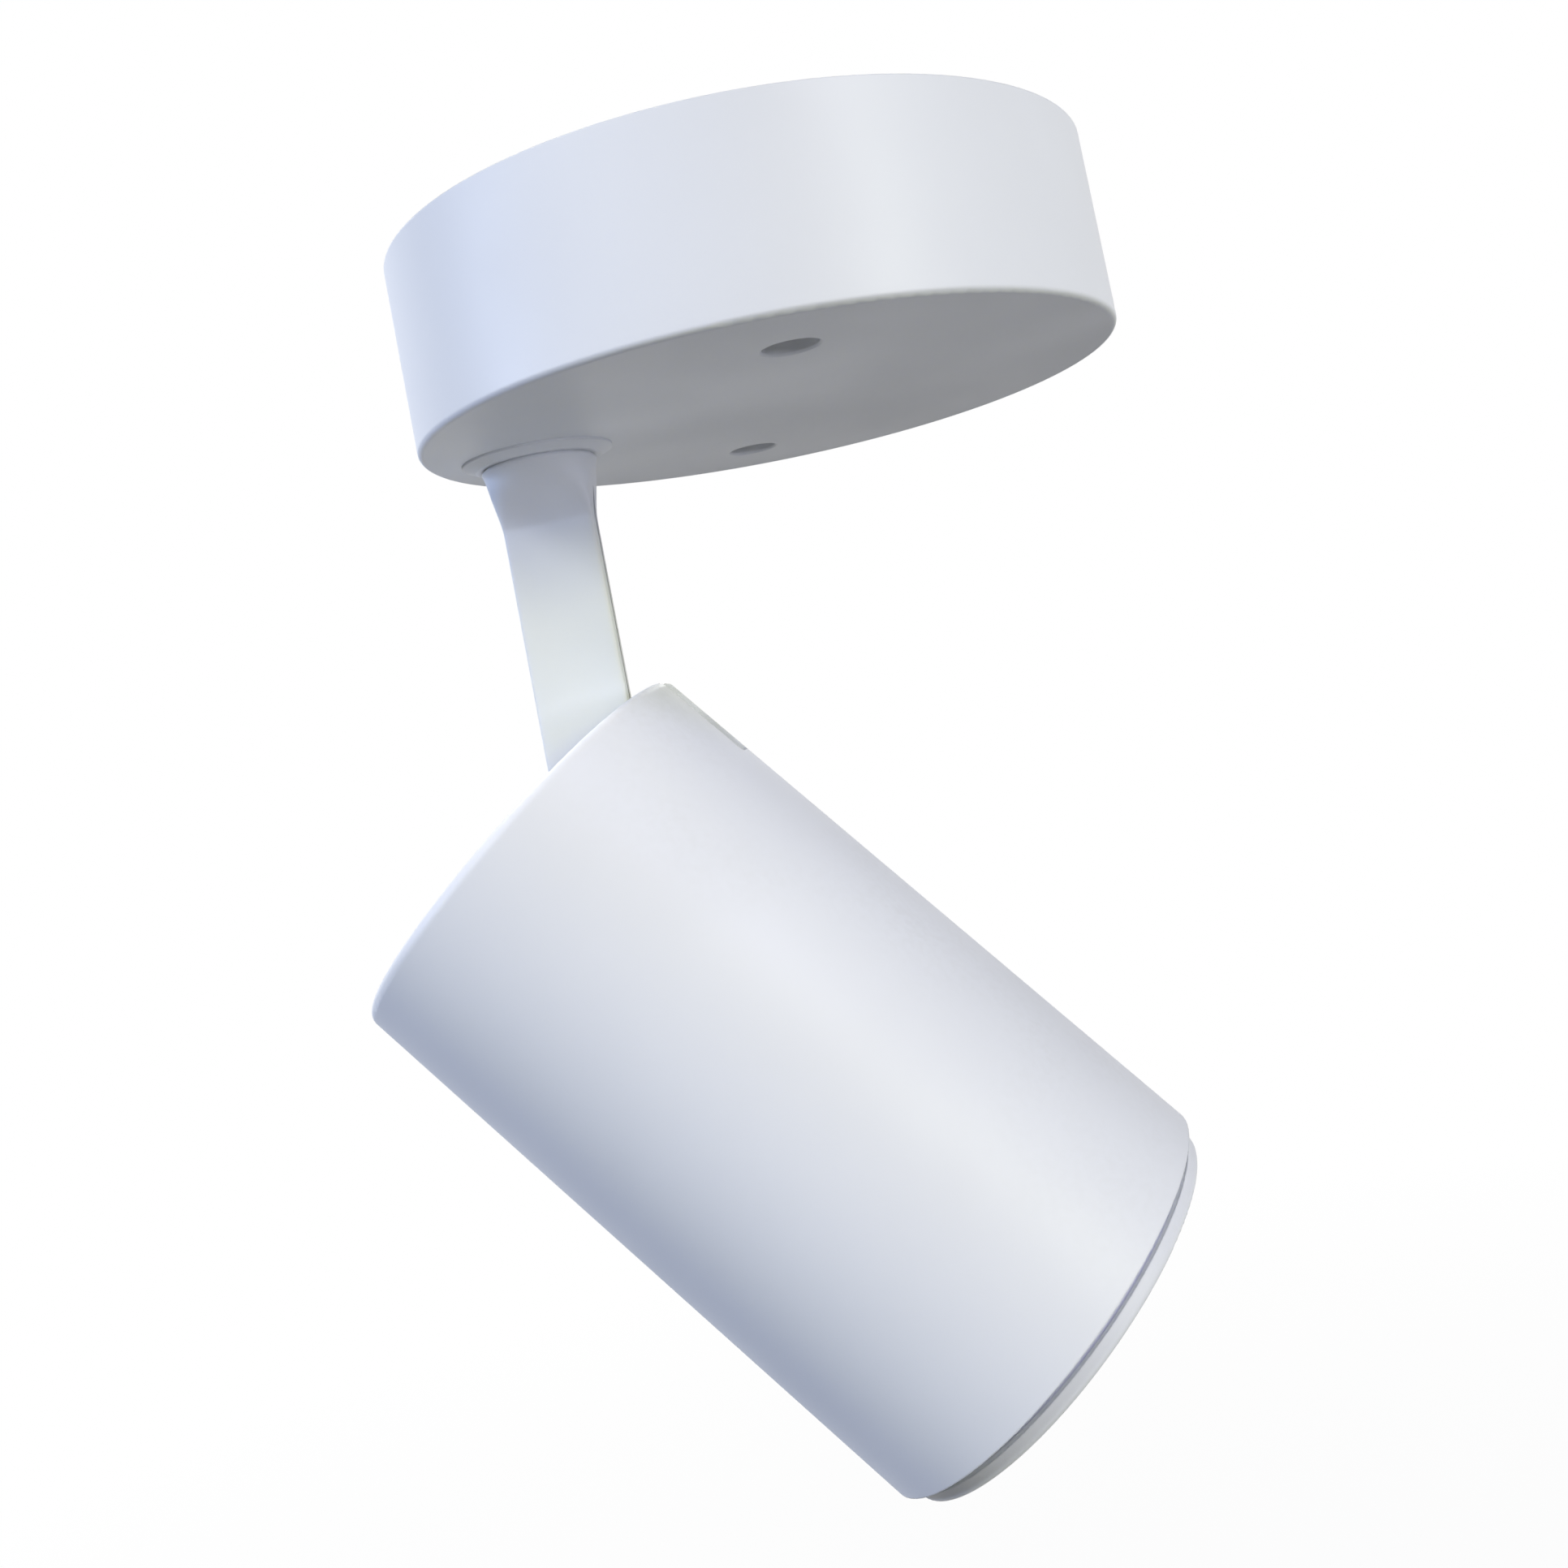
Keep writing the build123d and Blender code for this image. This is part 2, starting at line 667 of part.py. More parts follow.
# ------------------------------------------------------------------ arm
with BuildPart() as swivel_arm:
    extrude(disc(swivel_plane(arm_end_z), arm_top_d / 2), amount=collar_z - arm_end_z)
    chamfer(swivel_arm.edges().group_by(Axis.Z)[-1], seam_chamfer)
    # Seen from the front: sides draw in from the round top to the strap, whose foot is round
    with BuildSketch(arm_front):
        with BuildLine():
            Line((-arm_top_d / 2, collar_z), (arm_top_d / 2, collar_z))
            Line((arm_top_d / 2, collar_z), (arm_top_d / 2, neck_z))
            right = TangentArc((strap_w / 2, neck_z - taper_h), (arm_top_d / 2, neck_z), tangent=(0, 1))
            Line(right @ 0, (strap_w / 2, pivot_z))
            ThreePointArc((strap_w / 2, pivot_z), (0, arm_end_z), (-strap_w / 2, pivot_z))
            left = TangentArc((-strap_w / 2, neck_z - taper_h), (-arm_top_d / 2, neck_z), tangent=(0, 1))
            Line((-strap_w / 2, pivot_z), left @ 0)
            Line(left @ 1, (-arm_top_d / 2, collar_z))
        make_face()
    extrude(amount=arm_top_d, both=True, mode=Mode.INTERSECT)
    # Seen from the side: slanted faces front and back lead to the thin strap
    with BuildSketch(arm_side) as arm_profile:
        with BuildLine():
            Polyline(
                (arm_top_d / 2, collar_z),
                (arm_top_d / 2, neck_z),
                (strap_t / 2, slant_end_z),
                (strap_t / 2, arm_end_z),
                (-strap_t / 2, arm_end_z),
                (-strap_t / 2, slant_end_z),
                (-arm_top_d / 2, neck_z),
                (-arm_top_d / 2, collar_z),
                close=True,
            )
        make_face()
        fillet(arm_profile.vertices().group_by(Axis.Y)[1], slant_r)
    extrude(amount=arm_top_d, both=True, mode=Mode.INTERSECT)
    # Stem through the canopy, with a flat for the stop ring
    extrude(disc(swivel_plane(collar_z), stem_d / 2), amount=stem_top_z - collar_z)
    with BuildSketch(swivel_plane(friction_ring_z)):
        with Locations((-stem_flat - stem_d / 4, 0)):
            Rectangle(stem_d / 2, stem_d)
    extrude(amount=stem_top_z - friction_ring_z, mode=Mode.SUBTRACT)
    # Way for the leads: a bore down the stem, then a groove in the strap's back
    extrude(
        disc(swivel_plane(neck_z - stem_bore_d / 2), stem_bore_d / 2),
        amount=stem_top_z - neck_z + stem_bore_d / 2,
        mode=Mode.SUBTRACT,
    )
    with BuildSketch(swivel_plane(pivot_z + groove_end)):
        with Locations((0, strap_t / 2 - groove_depth / 2)):
            Rectangle(groove_w, groove_depth)
    extrude(amount=neck_z - stem_bore_d / 2 - pivot_z - groove_end, mode=Mode.SUBTRACT)
    # Bore for the pivot screw
    with BuildSketch(arm_front):
        with Locations((0, pivot_z)):
            Circle(pivot_d / 2 + run_play)
    extrude(amount=arm_top_d, both=True, mode=Mode.SUBTRACT)

with BuildPart() as arm_wire_cover:
    with BuildSketch(swivel_plane(pivot_z + cover_end)):
        with Locations((0, strap_t / 2 - groove_cover_t / 2)):
            Rectangle(groove_w - 2 * run_play, groove_cover_t)
    extrude(amount=strap_top_z - pivot_z - cover_end)

with BuildPart() as arm_leads:
    with BuildSketch(swivel_plane(pivot_z + groove_end + part_gap)):
        with Locations((-lead_pitch / 2, lead_y), (lead_pitch / 2, lead_y)):
            Circle(lead_d / 2)
    extrude(amount=stem_top_z - pivot_z - groove_end - part_gap)

# ------------------------------------------------------------------ head housing
strap_low = pivot_rise - strap_w / 2 - slot_end_gap      # inner end of the slot in the rear wall
strap_deep = pivot_depth + strap_w / 2 + slot_end_gap    # end of the slot in the side wall
slot_width = strap_t + 2 * slot_side_gap

with BuildPart() as head_shell:
    extrude(disc(head_plane, head_d / 2), amount=head_l)
    fillet(head_shell.edges().group_by(Axis(head_rear, axis_dir))[0], head_rear_r)
    extrude(disc(head_plane.offset(head_rear_t), cavity_r), amount=head_l, mode=Mode.SUBTRACT)
    extrude(disc(head_plane.offset(shoulder_depth), bore_r), amount=head_l, mode=Mode.SUBTRACT)
    chamfer(
        head_shell.edges().group_by(Axis(head_rear, axis_dir))[-1].sort_by(SortBy.RADIUS)[0],
        head_mouth_chamfer,
    )
    # Slot that the arm swings in: first in the rear wall, then down the side wall
    with BuildSketch(head_plane) as rear_slot:
        with Locations(((strap_low + head_d) / 2, 0)):
            Rectangle(head_d - strap_low, slot_width)
        fillet(rear_slot.vertices().group_by(Axis.X)[0], slot_corner_r)
    extrude(amount=head_rear_t, mode=Mode.SUBTRACT)
    with BuildSketch(Plane(origin=head_rear, x_dir=axis_dir, z_dir=rise_dir)) as side_slot:
        with Locations((0, 0)):
            Rectangle(2 * strap_deep, slot_width)
        fillet(side_slot.vertices(), slot_corner_r)
    extrude(amount=head_d, mode=Mode.SUBTRACT)

# ------------------------------------------------------------------ tilt pivot
strap_face = strap_t / 2
cheek_face = strap_face + friction_washer_t
cheek_back = cheek_face + bracket_t
nut_face = cheek_back + spring_washer_t
screw_end = nut_face + pivot_nut_h + pivot_tip
foot_back = shoulder_depth
foot_front = foot_back - bracket_t
bracket_screw_y = cheek_back + m3_head_d / 2 + bracket_bend_gap
bracket_screw_points = [(pivot_rise + side * bracket_screw_pitch / 2, bracket_screw_y) for side in (-1, 1)]
cheek_far = head_rear_t + slot_end_gap

with BuildPart() as tilt_bracket:
    # Cheek beside the strap, with a rounded end
    with BuildSketch(pivot_plane.offset(-cheek_face)) as cheek:
        with Locations((0, (foot_back + cheek_far) / 2 - pivot_depth)):
            Rectangle(bracket_w, foot_back - cheek_far)
        fillet(cheek.vertices().group_by(Axis.Y)[0], bracket_corner_r)
    extrude(amount=-bracket_t)
    # Foot on the heat sink
    with BuildSketch(head_plane.offset(foot_front)):
        with Locations((pivot_rise, cheek_face + bracket_foot / 2)):
            Rectangle(bracket_w, bracket_foot)
    extrude(amount=bracket_t)
    with BuildSketch(head_plane.offset(foot_front)):
        with Locations(*bracket_screw_points):
            Circle(m3_d / 2 + fit_play)
    extrude(amount=bracket_t, mode=Mode.SUBTRACT)
    extrude(disc(pivot_plane, pivot_d / 2 + seat_play), amount=-head_d / 2, mode=Mode.SUBTRACT)

with BuildPart() as bracket_screws:
    with BuildSketch(head_plane.offset(foot_front)):
        with Locations(*bracket_screw_points):
            Circle(m3_head_d / 2)
    extrude(amount=-m3_head_h)
    with BuildSketch(head_plane.offset(foot_front)):
        with Locations(*bracket_screw_points):
            Circle(m3_d / 2)
    extrude(amount=bracket_screw_l)
    with BuildSketch(head_plane.offset(foot_front - m3_head_h)):
        with Locations(*bracket_screw_points):
            Rectangle(m3_cross_l, m3_cross_w)
            Rectangle(m3_cross_w, m3_cross_l)
    extrude(amount=m3_cross_depth, mode=Mode.SUBTRACT)

with BuildPart() as pivot_screw:
    extrude(disc(pivot_plane.offset(strap_face + washer_t), pivot_head_d / 2), amount=pivot_head_h)
    fillet(pivot_screw.edges().group_by(Axis.Y)[-1], pivot_head_r)
    with BuildSketch(pivot_plane.offset(strap_face + washer_t + pivot_head_h)):
        RegularPolygon(pivot_socket_af / 2, 6, major_radius=False)
    extrude(amount=-pivot_socket_depth, mode=Mode.SUBTRACT)
    extrude(
        disc(pivot_plane.offset(strap_face + washer_t), pivot_d / 2),
        amount=-(screw_end + strap_face + washer_t),
    )
    chamfer(pivot_screw.edges().group_by(Axis.Y)[0], pivot_tip_chamfer)

with BuildPart() as pivot_washer:
    extrude(disc(pivot_plane.offset(strap_face), pivot_washer_d / 2, pivot_d / 2 + run_play), amount=washer_t)

with BuildPart() as friction_washer:
    extrude(
        disc(pivot_plane.offset(-strap_face), friction_washer_d / 2, pivot_d / 2 + run_play),
        amount=-friction_washer_t,
    )

with BuildPart() as spring_washer:
    extrude(
        disc(pivot_plane.offset(-cheek_back), spring_washer_d / 2, pivot_d / 2 + run_play),
        amount=-spring_washer_t,
    )
    # The split in the spring washer
    with BuildSketch(pivot_plane.offset(-cheek_back)):
        with Locations((spring_washer_d / 2, 0)):
            Rectangle(spring_washer_d, spring_split_w, rotation=spring_split_turn)
    extrude(amount=-spring_washer_t, mode=Mode.SUBTRACT)

with BuildPart() as pivot_nut:
    with BuildSketch(pivot_plane.offset(-nut_face)):
        RegularPolygon(pivot_nut_af / 2, 6, major_radius=False)
        Circle(pivot_d / 2 + seat_play, mode=Mode.SUBTRACT)
    extrude(amount=-pivot_nut_h)

# ------------------------------------------------------------------ heat sink and light source
board_screw_turns = [2 * pi * step / board_screw_count for step in range(board_screw_count)]
board_screw_points = [(board_screw_r * cos(turn), board_screw_r * sin(turn)) for turn in board_screw_turns]
fin_out = bore_r - fit_play
fin_in = sink_core_d / 2 - fin_t
lead_rows = [-lead_pitch / 2, lead_pitch / 2]

with BuildPart() as heat_sink:
    with BuildSketch(head_plane.offset(shoulder_depth)):
        Circle(sink_core_d / 2)
        with PolarLocations((fin_in + fin_out) / 2, fin_count, start_angle=180 / fin_count):
            Rectangle(fin_out - fin_in, fin_t)
        Circle(fin_out, mode=Mode.INTERSECT)
    extrude(amount=sink_l - sink_disc_t)
    extrude(disc(head_plane.offset(sink_front - sink_disc_t), fin_out), amount=sink_disc_t)
    # Way for the leads through the disc
    with BuildSketch(head_plane.offset(sink_front)):
        with Locations((-lead_way_r, 0)):
            SlotOverall(2 * lead_pitch + lead_d, lead_d + 2 * touch_gap, rotation=90)
    extrude(amount=-sink_disc_t, mode=Mode.SUBTRACT)
    with BuildSketch(head_plane.offset(shoulder_depth)):
        with Locations(*bracket_screw_points):
            Circle(m3_d / 2 + seat_play)
    extrude(amount=bracket_screw_l, mode=Mode.SUBTRACT)
    with BuildSketch(head_plane.offset(sink_front)):
        with Locations(*board_screw_points):
            Circle(m3_d / 2 + seat_play)
    extrude(amount=-board_screw_l, mode=Mode.SUBTRACT)

with BuildPart() as thermal_pad:
    with BuildSketch(head_plane.offset(sink_front)):
        Circle(led_board_d / 2)
        with Locations(*board_screw_points):
            Circle(m3_d / 2 + fit_play, mode=Mode.SUBTRACT)
    extrude(amount=thermal_pad_t)

with BuildPart() as led_board:
    with BuildSketch(head_plane.offset(board_back)):
        Circle(led_board_d / 2)
        with Locations(*board_screw_points):
            Circle(m3_d / 2 + fit_play, mode=Mode.SUBTRACT)
    extrude(amount=led_board_t)

with BuildPart() as led_emitter:
    extrude(disc(head_plane.offset(board_front), emitter_d / 2), amount=emitter_t)
    extrude(
        disc(head_plane.offset(board_front + emitter_t), emitter_d / 2, emitter_d / 2 - dam_w), amount=dam_h
    )

with BuildPart() as board_screws:
    with BuildSketch(head_plane.offset(board_front)):
        with Locations(*board_screw_points):
            Circle(m3_head_d / 2)
    extrude(amount=m3_head_h)
    with BuildSketch(head_plane.offset(board_front)):
        with Locations(*board_screw_points):
            Circle(m3_d / 2)
    extrude(amount=-(board_screw_l - part_gap + board_front - sink_front))
    with BuildSketch(head_plane.offset(board_front + m3_head_h)):
        with Locations(*board_screw_points):
            Rectangle(m3_cross_l, m3_cross_w)
            Rectangle(m3_cross_w, m3_cross_l)
    extrude(amount=-m3_cross_depth, mode=Mode.SUBTRACT)

lead_over_board = board_front + lead_d / 2
with BuildPart() as head_leads:
    for row in lead_rows:
        row_plane = Plane(origin=head_rear - Vector(0, row, 0), x_dir=rise_dir, z_dir=(0, 1, 0))
        with BuildLine(row_plane) as route:
            FilletPolyline(
                (-lead_way_r, lead_start),
                (-lead_way_r, lead_over_board),
                (-lead_pad_r, lead_over_board),
                radius=lead_bend_r,
            )
        with BuildSketch(head_plane.offset(lead_start)):
            with Locations((-lead_way_r, row)):
                Circle(lead_d / 2)
        sweep(path=route.wires()[0])

# ------------------------------------------------------------------ reflector, lens and front ring
with BuildPart() as reflector_holder:
    revolve(
        outline(
            head_section,
            [
                (emitter_d / 2 + part_gap, board_front),
                (holder_d / 2, board_front),
                (holder_d / 2, board_front + holder_h),
                (neck_r + reflector_wall + fit_play, board_front + holder_h),
                (neck_r + reflector_wall + fit_play, reflector_back),
                (emitter_d / 2 + part_gap, reflector_back),
            ],
        ),
        axis=head_axis,
    )

with BuildPart() as reflector:
    with BuildSketch(head_section):
        with BuildLine():
            mid = bell_l / 2
            Line((neck_r, reflector_back), (neck_r, bell_back))
            ThreePointArc((neck_r, bell_back), (bell_r(mid), bell_back + mid), (mouth_r, rim_back))
            Line((mouth_r, rim_back), (mouth_r, rim_front))
            Line((mouth_r, rim_front), (optic_r, rim_front))
            Line((optic_r, rim_front), (optic_r, rim_back))
            Line((optic_r, rim_back), (mouth_r + reflector_wall, rim_back))
            ThreePointArc(
                (mouth_r + reflector_wall, rim_back),
                (bell_r(mid) + reflector_wall, bell_back + mid),
                (neck_r + reflector_wall, bell_back),
            )
            Line((neck_r + reflector_wall, bell_back), (neck_r + reflector_wall, reflector_back))
            Line((neck_r + reflector_wall, reflector_back), (neck_r, reflector_back))
        make_face()
    revolve(axis=head_axis)

with BuildPart() as reflector_sleeve:
    extrude(
        disc(head_plane.offset(sink_front), fin_out, fin_out - sleeve_wall), amount=rim_back - sink_front
    )

with BuildPart() as lens:
    extrude(disc(head_plane.offset(rim_front), optic_r), amount=lens_t)
    chamfer(lens.edges(), lens_edge)

with BuildPart() as lens_gasket:
    extrude(disc(head_plane.offset(lens_front), optic_r - lens_edge, throat_r), amount=gasket_t)

seal_mid = ring_back + seal_depth
seal_r = seal_section_d / 2
with BuildPart() as front_ring:
    with BuildSketch(head_section) as ring_profile:
        with BuildLine():
            Polyline(
                (throat_r, ring_back),
                (ring_r, ring_back),
                (ring_r, ring_front),
                (aperture_r, ring_front),
                close=True,
            )
        make_face()
        fillet(ring_profile.vertices().group_by(Axis.Y)[-1].sort_by(Axis.X)[-1], ring_front_r)
        with Locations((ring_r, seal_mid)):
            Rectangle(2 * (2 * seal_r + fit_play - ring_gap), 2 * (seal_r + run_play), mode=Mode.SUBTRACT)
        # Shadow line, from just inside the head's mouth
        with Locations((ring_r, head_l + (ring_line_w - touch_gap) / 2)):
            Rectangle(2 * ring_line_depth, ring_line_w + touch_gap, mode=Mode.SUBTRACT)
    revolve(axis=head_axis)

with BuildPart() as ring_seal:
    with BuildSketch(head_section):
        with Locations((bore_r - run_play - seal_r, seal_mid)):
            Circle(seal_r)
    revolve(axis=head_axis)

# ------------------------------------------------------------------ one file for each piece
pieces = {
    "canopy_shell": canopy_shell,
    "ceiling_plate": ceiling_plate,
    "plate_nuts": plate_nuts,
    "canopy_screws": canopy_screws,
    "cable_grommet": cable_grommet,
    "earth_washer": earth_washer,
    "earth_screw": earth_screw,
    "terminal_block": terminal_block,
    "terminal_screws": terminal_screws,
    "driver_pad": driver_pad,
    "driver_case": driver_case,
    "driver_lid": driver_lid,
    "driver_board": driver_board,
    "driver_plugs": driver_plugs,
    "driver_transformer": driver_transformer,
    "driver_capacitors": driver_capacitors,
    "input_leads": input_leads,
    "output_leads": output_leads,
    "swivel_collar": swivel_collar,
    "stop_pin": stop_pin,
    "friction_ring": friction_ring,
    "stop_ring": stop_ring,
    "cone_washer": cone_washer,
    "stem_nut": stem_nut,
    "swivel_arm": swivel_arm,
    "arm_wire_cover": arm_wire_cover,
    "arm_leads": arm_leads,
    "head_shell": head_shell,
    "tilt_bracket": tilt_bracket,
    "bracket_screws": bracket_screws,
    "pivot_screw": pivot_screw,
    "pivot_washer": pivot_washer,
    "friction_washer": friction_washer,
    "spring_washer": spring_washer,
    "pivot_nut": pivot_nut,
    "heat_sink": heat_sink,
    "thermal_pad": thermal_pad,
    "led_board": led_board,
    "led_emitter": led_emitter,
    "board_screws": board_screws,
    "head_leads": head_leads,
    "reflector_holder": reflector_holder,
    "reflector": reflector,
    "reflector_sleeve": reflector_sleeve,
    "lens": lens,
    "lens_gasket": lens_gasket,
    "front_ring": front_ring,
    "ring_seal": ring_seal,
}
for name, piece in pieces.items():
    piece.part.label = name
    export_step(piece.part, f"parts/{name}.step")
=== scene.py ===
"""Looks of a surface mounted ceiling spotlight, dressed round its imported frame.

The row's frame is used throughout, in metres: the ceiling is the plane z = 0, the canopy's axis is the
Z axis, the arm swivels at the -X side, and the head is tilted towards +X.
"""
import json
import logging
import math
from dataclasses import dataclass, field
from enum import Enum
from typing import Sequence

import bmesh
import bpy
from mathutils import Matrix, Vector

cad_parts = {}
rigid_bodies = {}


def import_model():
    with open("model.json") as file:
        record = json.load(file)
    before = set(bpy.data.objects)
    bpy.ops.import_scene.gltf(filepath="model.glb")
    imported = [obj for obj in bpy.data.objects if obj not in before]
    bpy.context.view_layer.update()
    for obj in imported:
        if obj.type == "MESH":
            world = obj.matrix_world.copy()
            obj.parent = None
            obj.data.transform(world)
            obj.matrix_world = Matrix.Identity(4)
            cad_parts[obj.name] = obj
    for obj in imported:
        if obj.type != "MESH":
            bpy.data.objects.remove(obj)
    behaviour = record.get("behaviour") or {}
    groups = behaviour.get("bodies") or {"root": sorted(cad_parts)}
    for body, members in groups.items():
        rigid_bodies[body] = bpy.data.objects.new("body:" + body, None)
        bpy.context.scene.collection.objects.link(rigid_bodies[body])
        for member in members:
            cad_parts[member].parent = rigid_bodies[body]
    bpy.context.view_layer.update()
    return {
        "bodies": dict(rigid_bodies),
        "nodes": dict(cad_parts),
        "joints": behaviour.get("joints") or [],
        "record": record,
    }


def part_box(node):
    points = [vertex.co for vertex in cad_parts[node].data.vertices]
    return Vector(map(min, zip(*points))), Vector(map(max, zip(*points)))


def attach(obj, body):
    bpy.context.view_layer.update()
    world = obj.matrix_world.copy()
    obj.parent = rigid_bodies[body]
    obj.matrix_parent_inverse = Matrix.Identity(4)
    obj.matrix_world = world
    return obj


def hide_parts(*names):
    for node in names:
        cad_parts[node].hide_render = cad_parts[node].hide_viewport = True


LOG = logging.getLogger("spotlight")
MM = 0.001

Colour = tuple[float, float, float]
Input = bpy.types.NodeSocket | bpy.types.Object | float | Sequence[float]   # what an input may be fed


# ---------------------------------------------------------------- node graphs
class NodeGraph:
    """The nodes of one tree, with short calls that add and join them."""

    def __init__(self, tree: bpy.types.NodeTree) -> None:
        """Starts on an empty tree.

        Args:
            tree: The node tree of a material or a node group.
        """
        self.tree = tree

    def add(self, kind: str, settings: dict | None = None, **inputs: Input) -> bpy.types.Node:
        """Adds a node.

        Args:
            kind: The node's type, such as ShaderNodeBump.
            settings: Values of the node's own properties.
            inputs: Values or sockets for inputs, by name with _ for a space.

        Returns:
            The new node.
        """
        node = self.tree.nodes.new(kind)
        for name, value in (settings or {}).items():
            setattr(node, name, value)
        for name, value in inputs.items():
            self.feed(node.inputs[name.replace("_", " ")], value)
        return node

    def feed(self, socket: bpy.types.NodeSocket, value: Input) -> None:
        """Links an output to an input, or sets the input's own value."""
        if isinstance(value, bpy.types.NodeSocket):
            self.tree.links.new(value, socket)
        elif socket.type == "RGBA" and len(value) == 3:
            socket.default_value = (*value, 1.0)
        else:
            socket.default_value = value

    def math(self, operation: str, *values: Input, clamp: bool = False) -> bpy.types.NodeSocket:
        """Adds a Math node on one to three values and returns its output."""
        node = self.add("ShaderNodeMath", {"operation": operation, "use_clamp": clamp})
        for socket, value in zip(node.inputs, values):
            self.feed(socket, value)
        return node.outputs[0]


class ShaderGraph(NodeGraph):
    """The nodes of one material or one shader group."""

    def mix(self, share: Input, first: Input, second: Input) -> bpy.types.NodeSocket:
        """Adds a colour mix and returns its output.

        Args:
            share: How much of the second colour shows, a number or a socket.
            first: Colour or socket that shows at 0.
            second: Colour or socket that shows at 1.

        Returns:
            The mixed colour's socket.
        """
        node = self.add("ShaderNodeMix", {"data_type": "RGBA"})
        self.feed(node.inputs["Factor"], share)
        self.feed(node.inputs[6], first)
        self.feed(node.inputs[7], second)
        return node.outputs[2]

    def ramp(
        self, value: Input, low: float, high: float, start: float = 0.0, end: float = 1.0
    ) -> bpy.types.NodeSocket:
        """Maps a value from one range to another, held at both ends."""
        node = self.add("ShaderNodeMapRange", {"clamp": True}, Value=value)
        for name, number in (("From Min", low), ("From Max", high), ("To Min", start), ("To Max", end)):
            node.inputs[name].default_value = number
        return node.outputs[0]

    def coordinates(
        self, matrix: Matrix | None = None, scale: Sequence[float] = (1, 1, 1)
    ) -> bpy.types.NodeSocket:
        """Object coordinates, seen from a place of their own.

        Args:
            matrix: Place whose axes the coordinates follow, or None for the row's frame.
            scale: Stretch along those axes.

        Returns:
            The coordinates' socket.
        """
        source = self.add("ShaderNodeTexCoord").outputs["Object"]
        if matrix is not None:
            moved = self.add("ShaderNodeMapping", Vector=source)
            inverse = matrix.inverted()
            moved.inputs["Location"].default_value = inverse.translation
            moved.inputs["Rotation"].default_value = inverse.to_euler()
            source = moved.outputs[0]
        stretched = self.add("ShaderNodeMapping", Vector=source)
        stretched.inputs["Scale"].default_value = scale
        return stretched.outputs[0]


def shader_group(
    name: str, inputs: dict[str, tuple[str, float]], outputs: dict[str, str]
) -> ShaderGraph | None:
    """Starts a shared shader node group, unless it is there already.

    Args:
        name: The group's name.
        inputs: Each input's socket type and default value.
        outputs: Each output's socket type.

    Returns:
        The graph to fill in, or None if the group was made before.
    """
    if name in bpy.data.node_groups:
        return None
    tree = bpy.data.node_groups.new(name, "ShaderNodeTree")
    for label, (kind, value) in inputs.items():
        socket = tree.interface.new_socket(label, in_out="INPUT", socket_type=kind)
        if kind == "NodeSocketFloat":
            socket.default_value = value
    for label, kind in outputs.items():
        tree.interface.new_socket(label, in_out="OUTPUT", socket_type=kind)
    return ShaderGraph(tree)


def use_group(graph: ShaderGraph, name: str, **inputs) -> bpy.types.Node:
    """Places a shared group in a material and sets its inputs."""
    return graph.add("ShaderNodeGroup", {"node_tree": bpy.data.node_groups[name]}, **inputs)


GRAIN = "fine_grain"
TURNING = "turning_marks"
WEAR = "edge_wear"
DUST = "settled_dust"


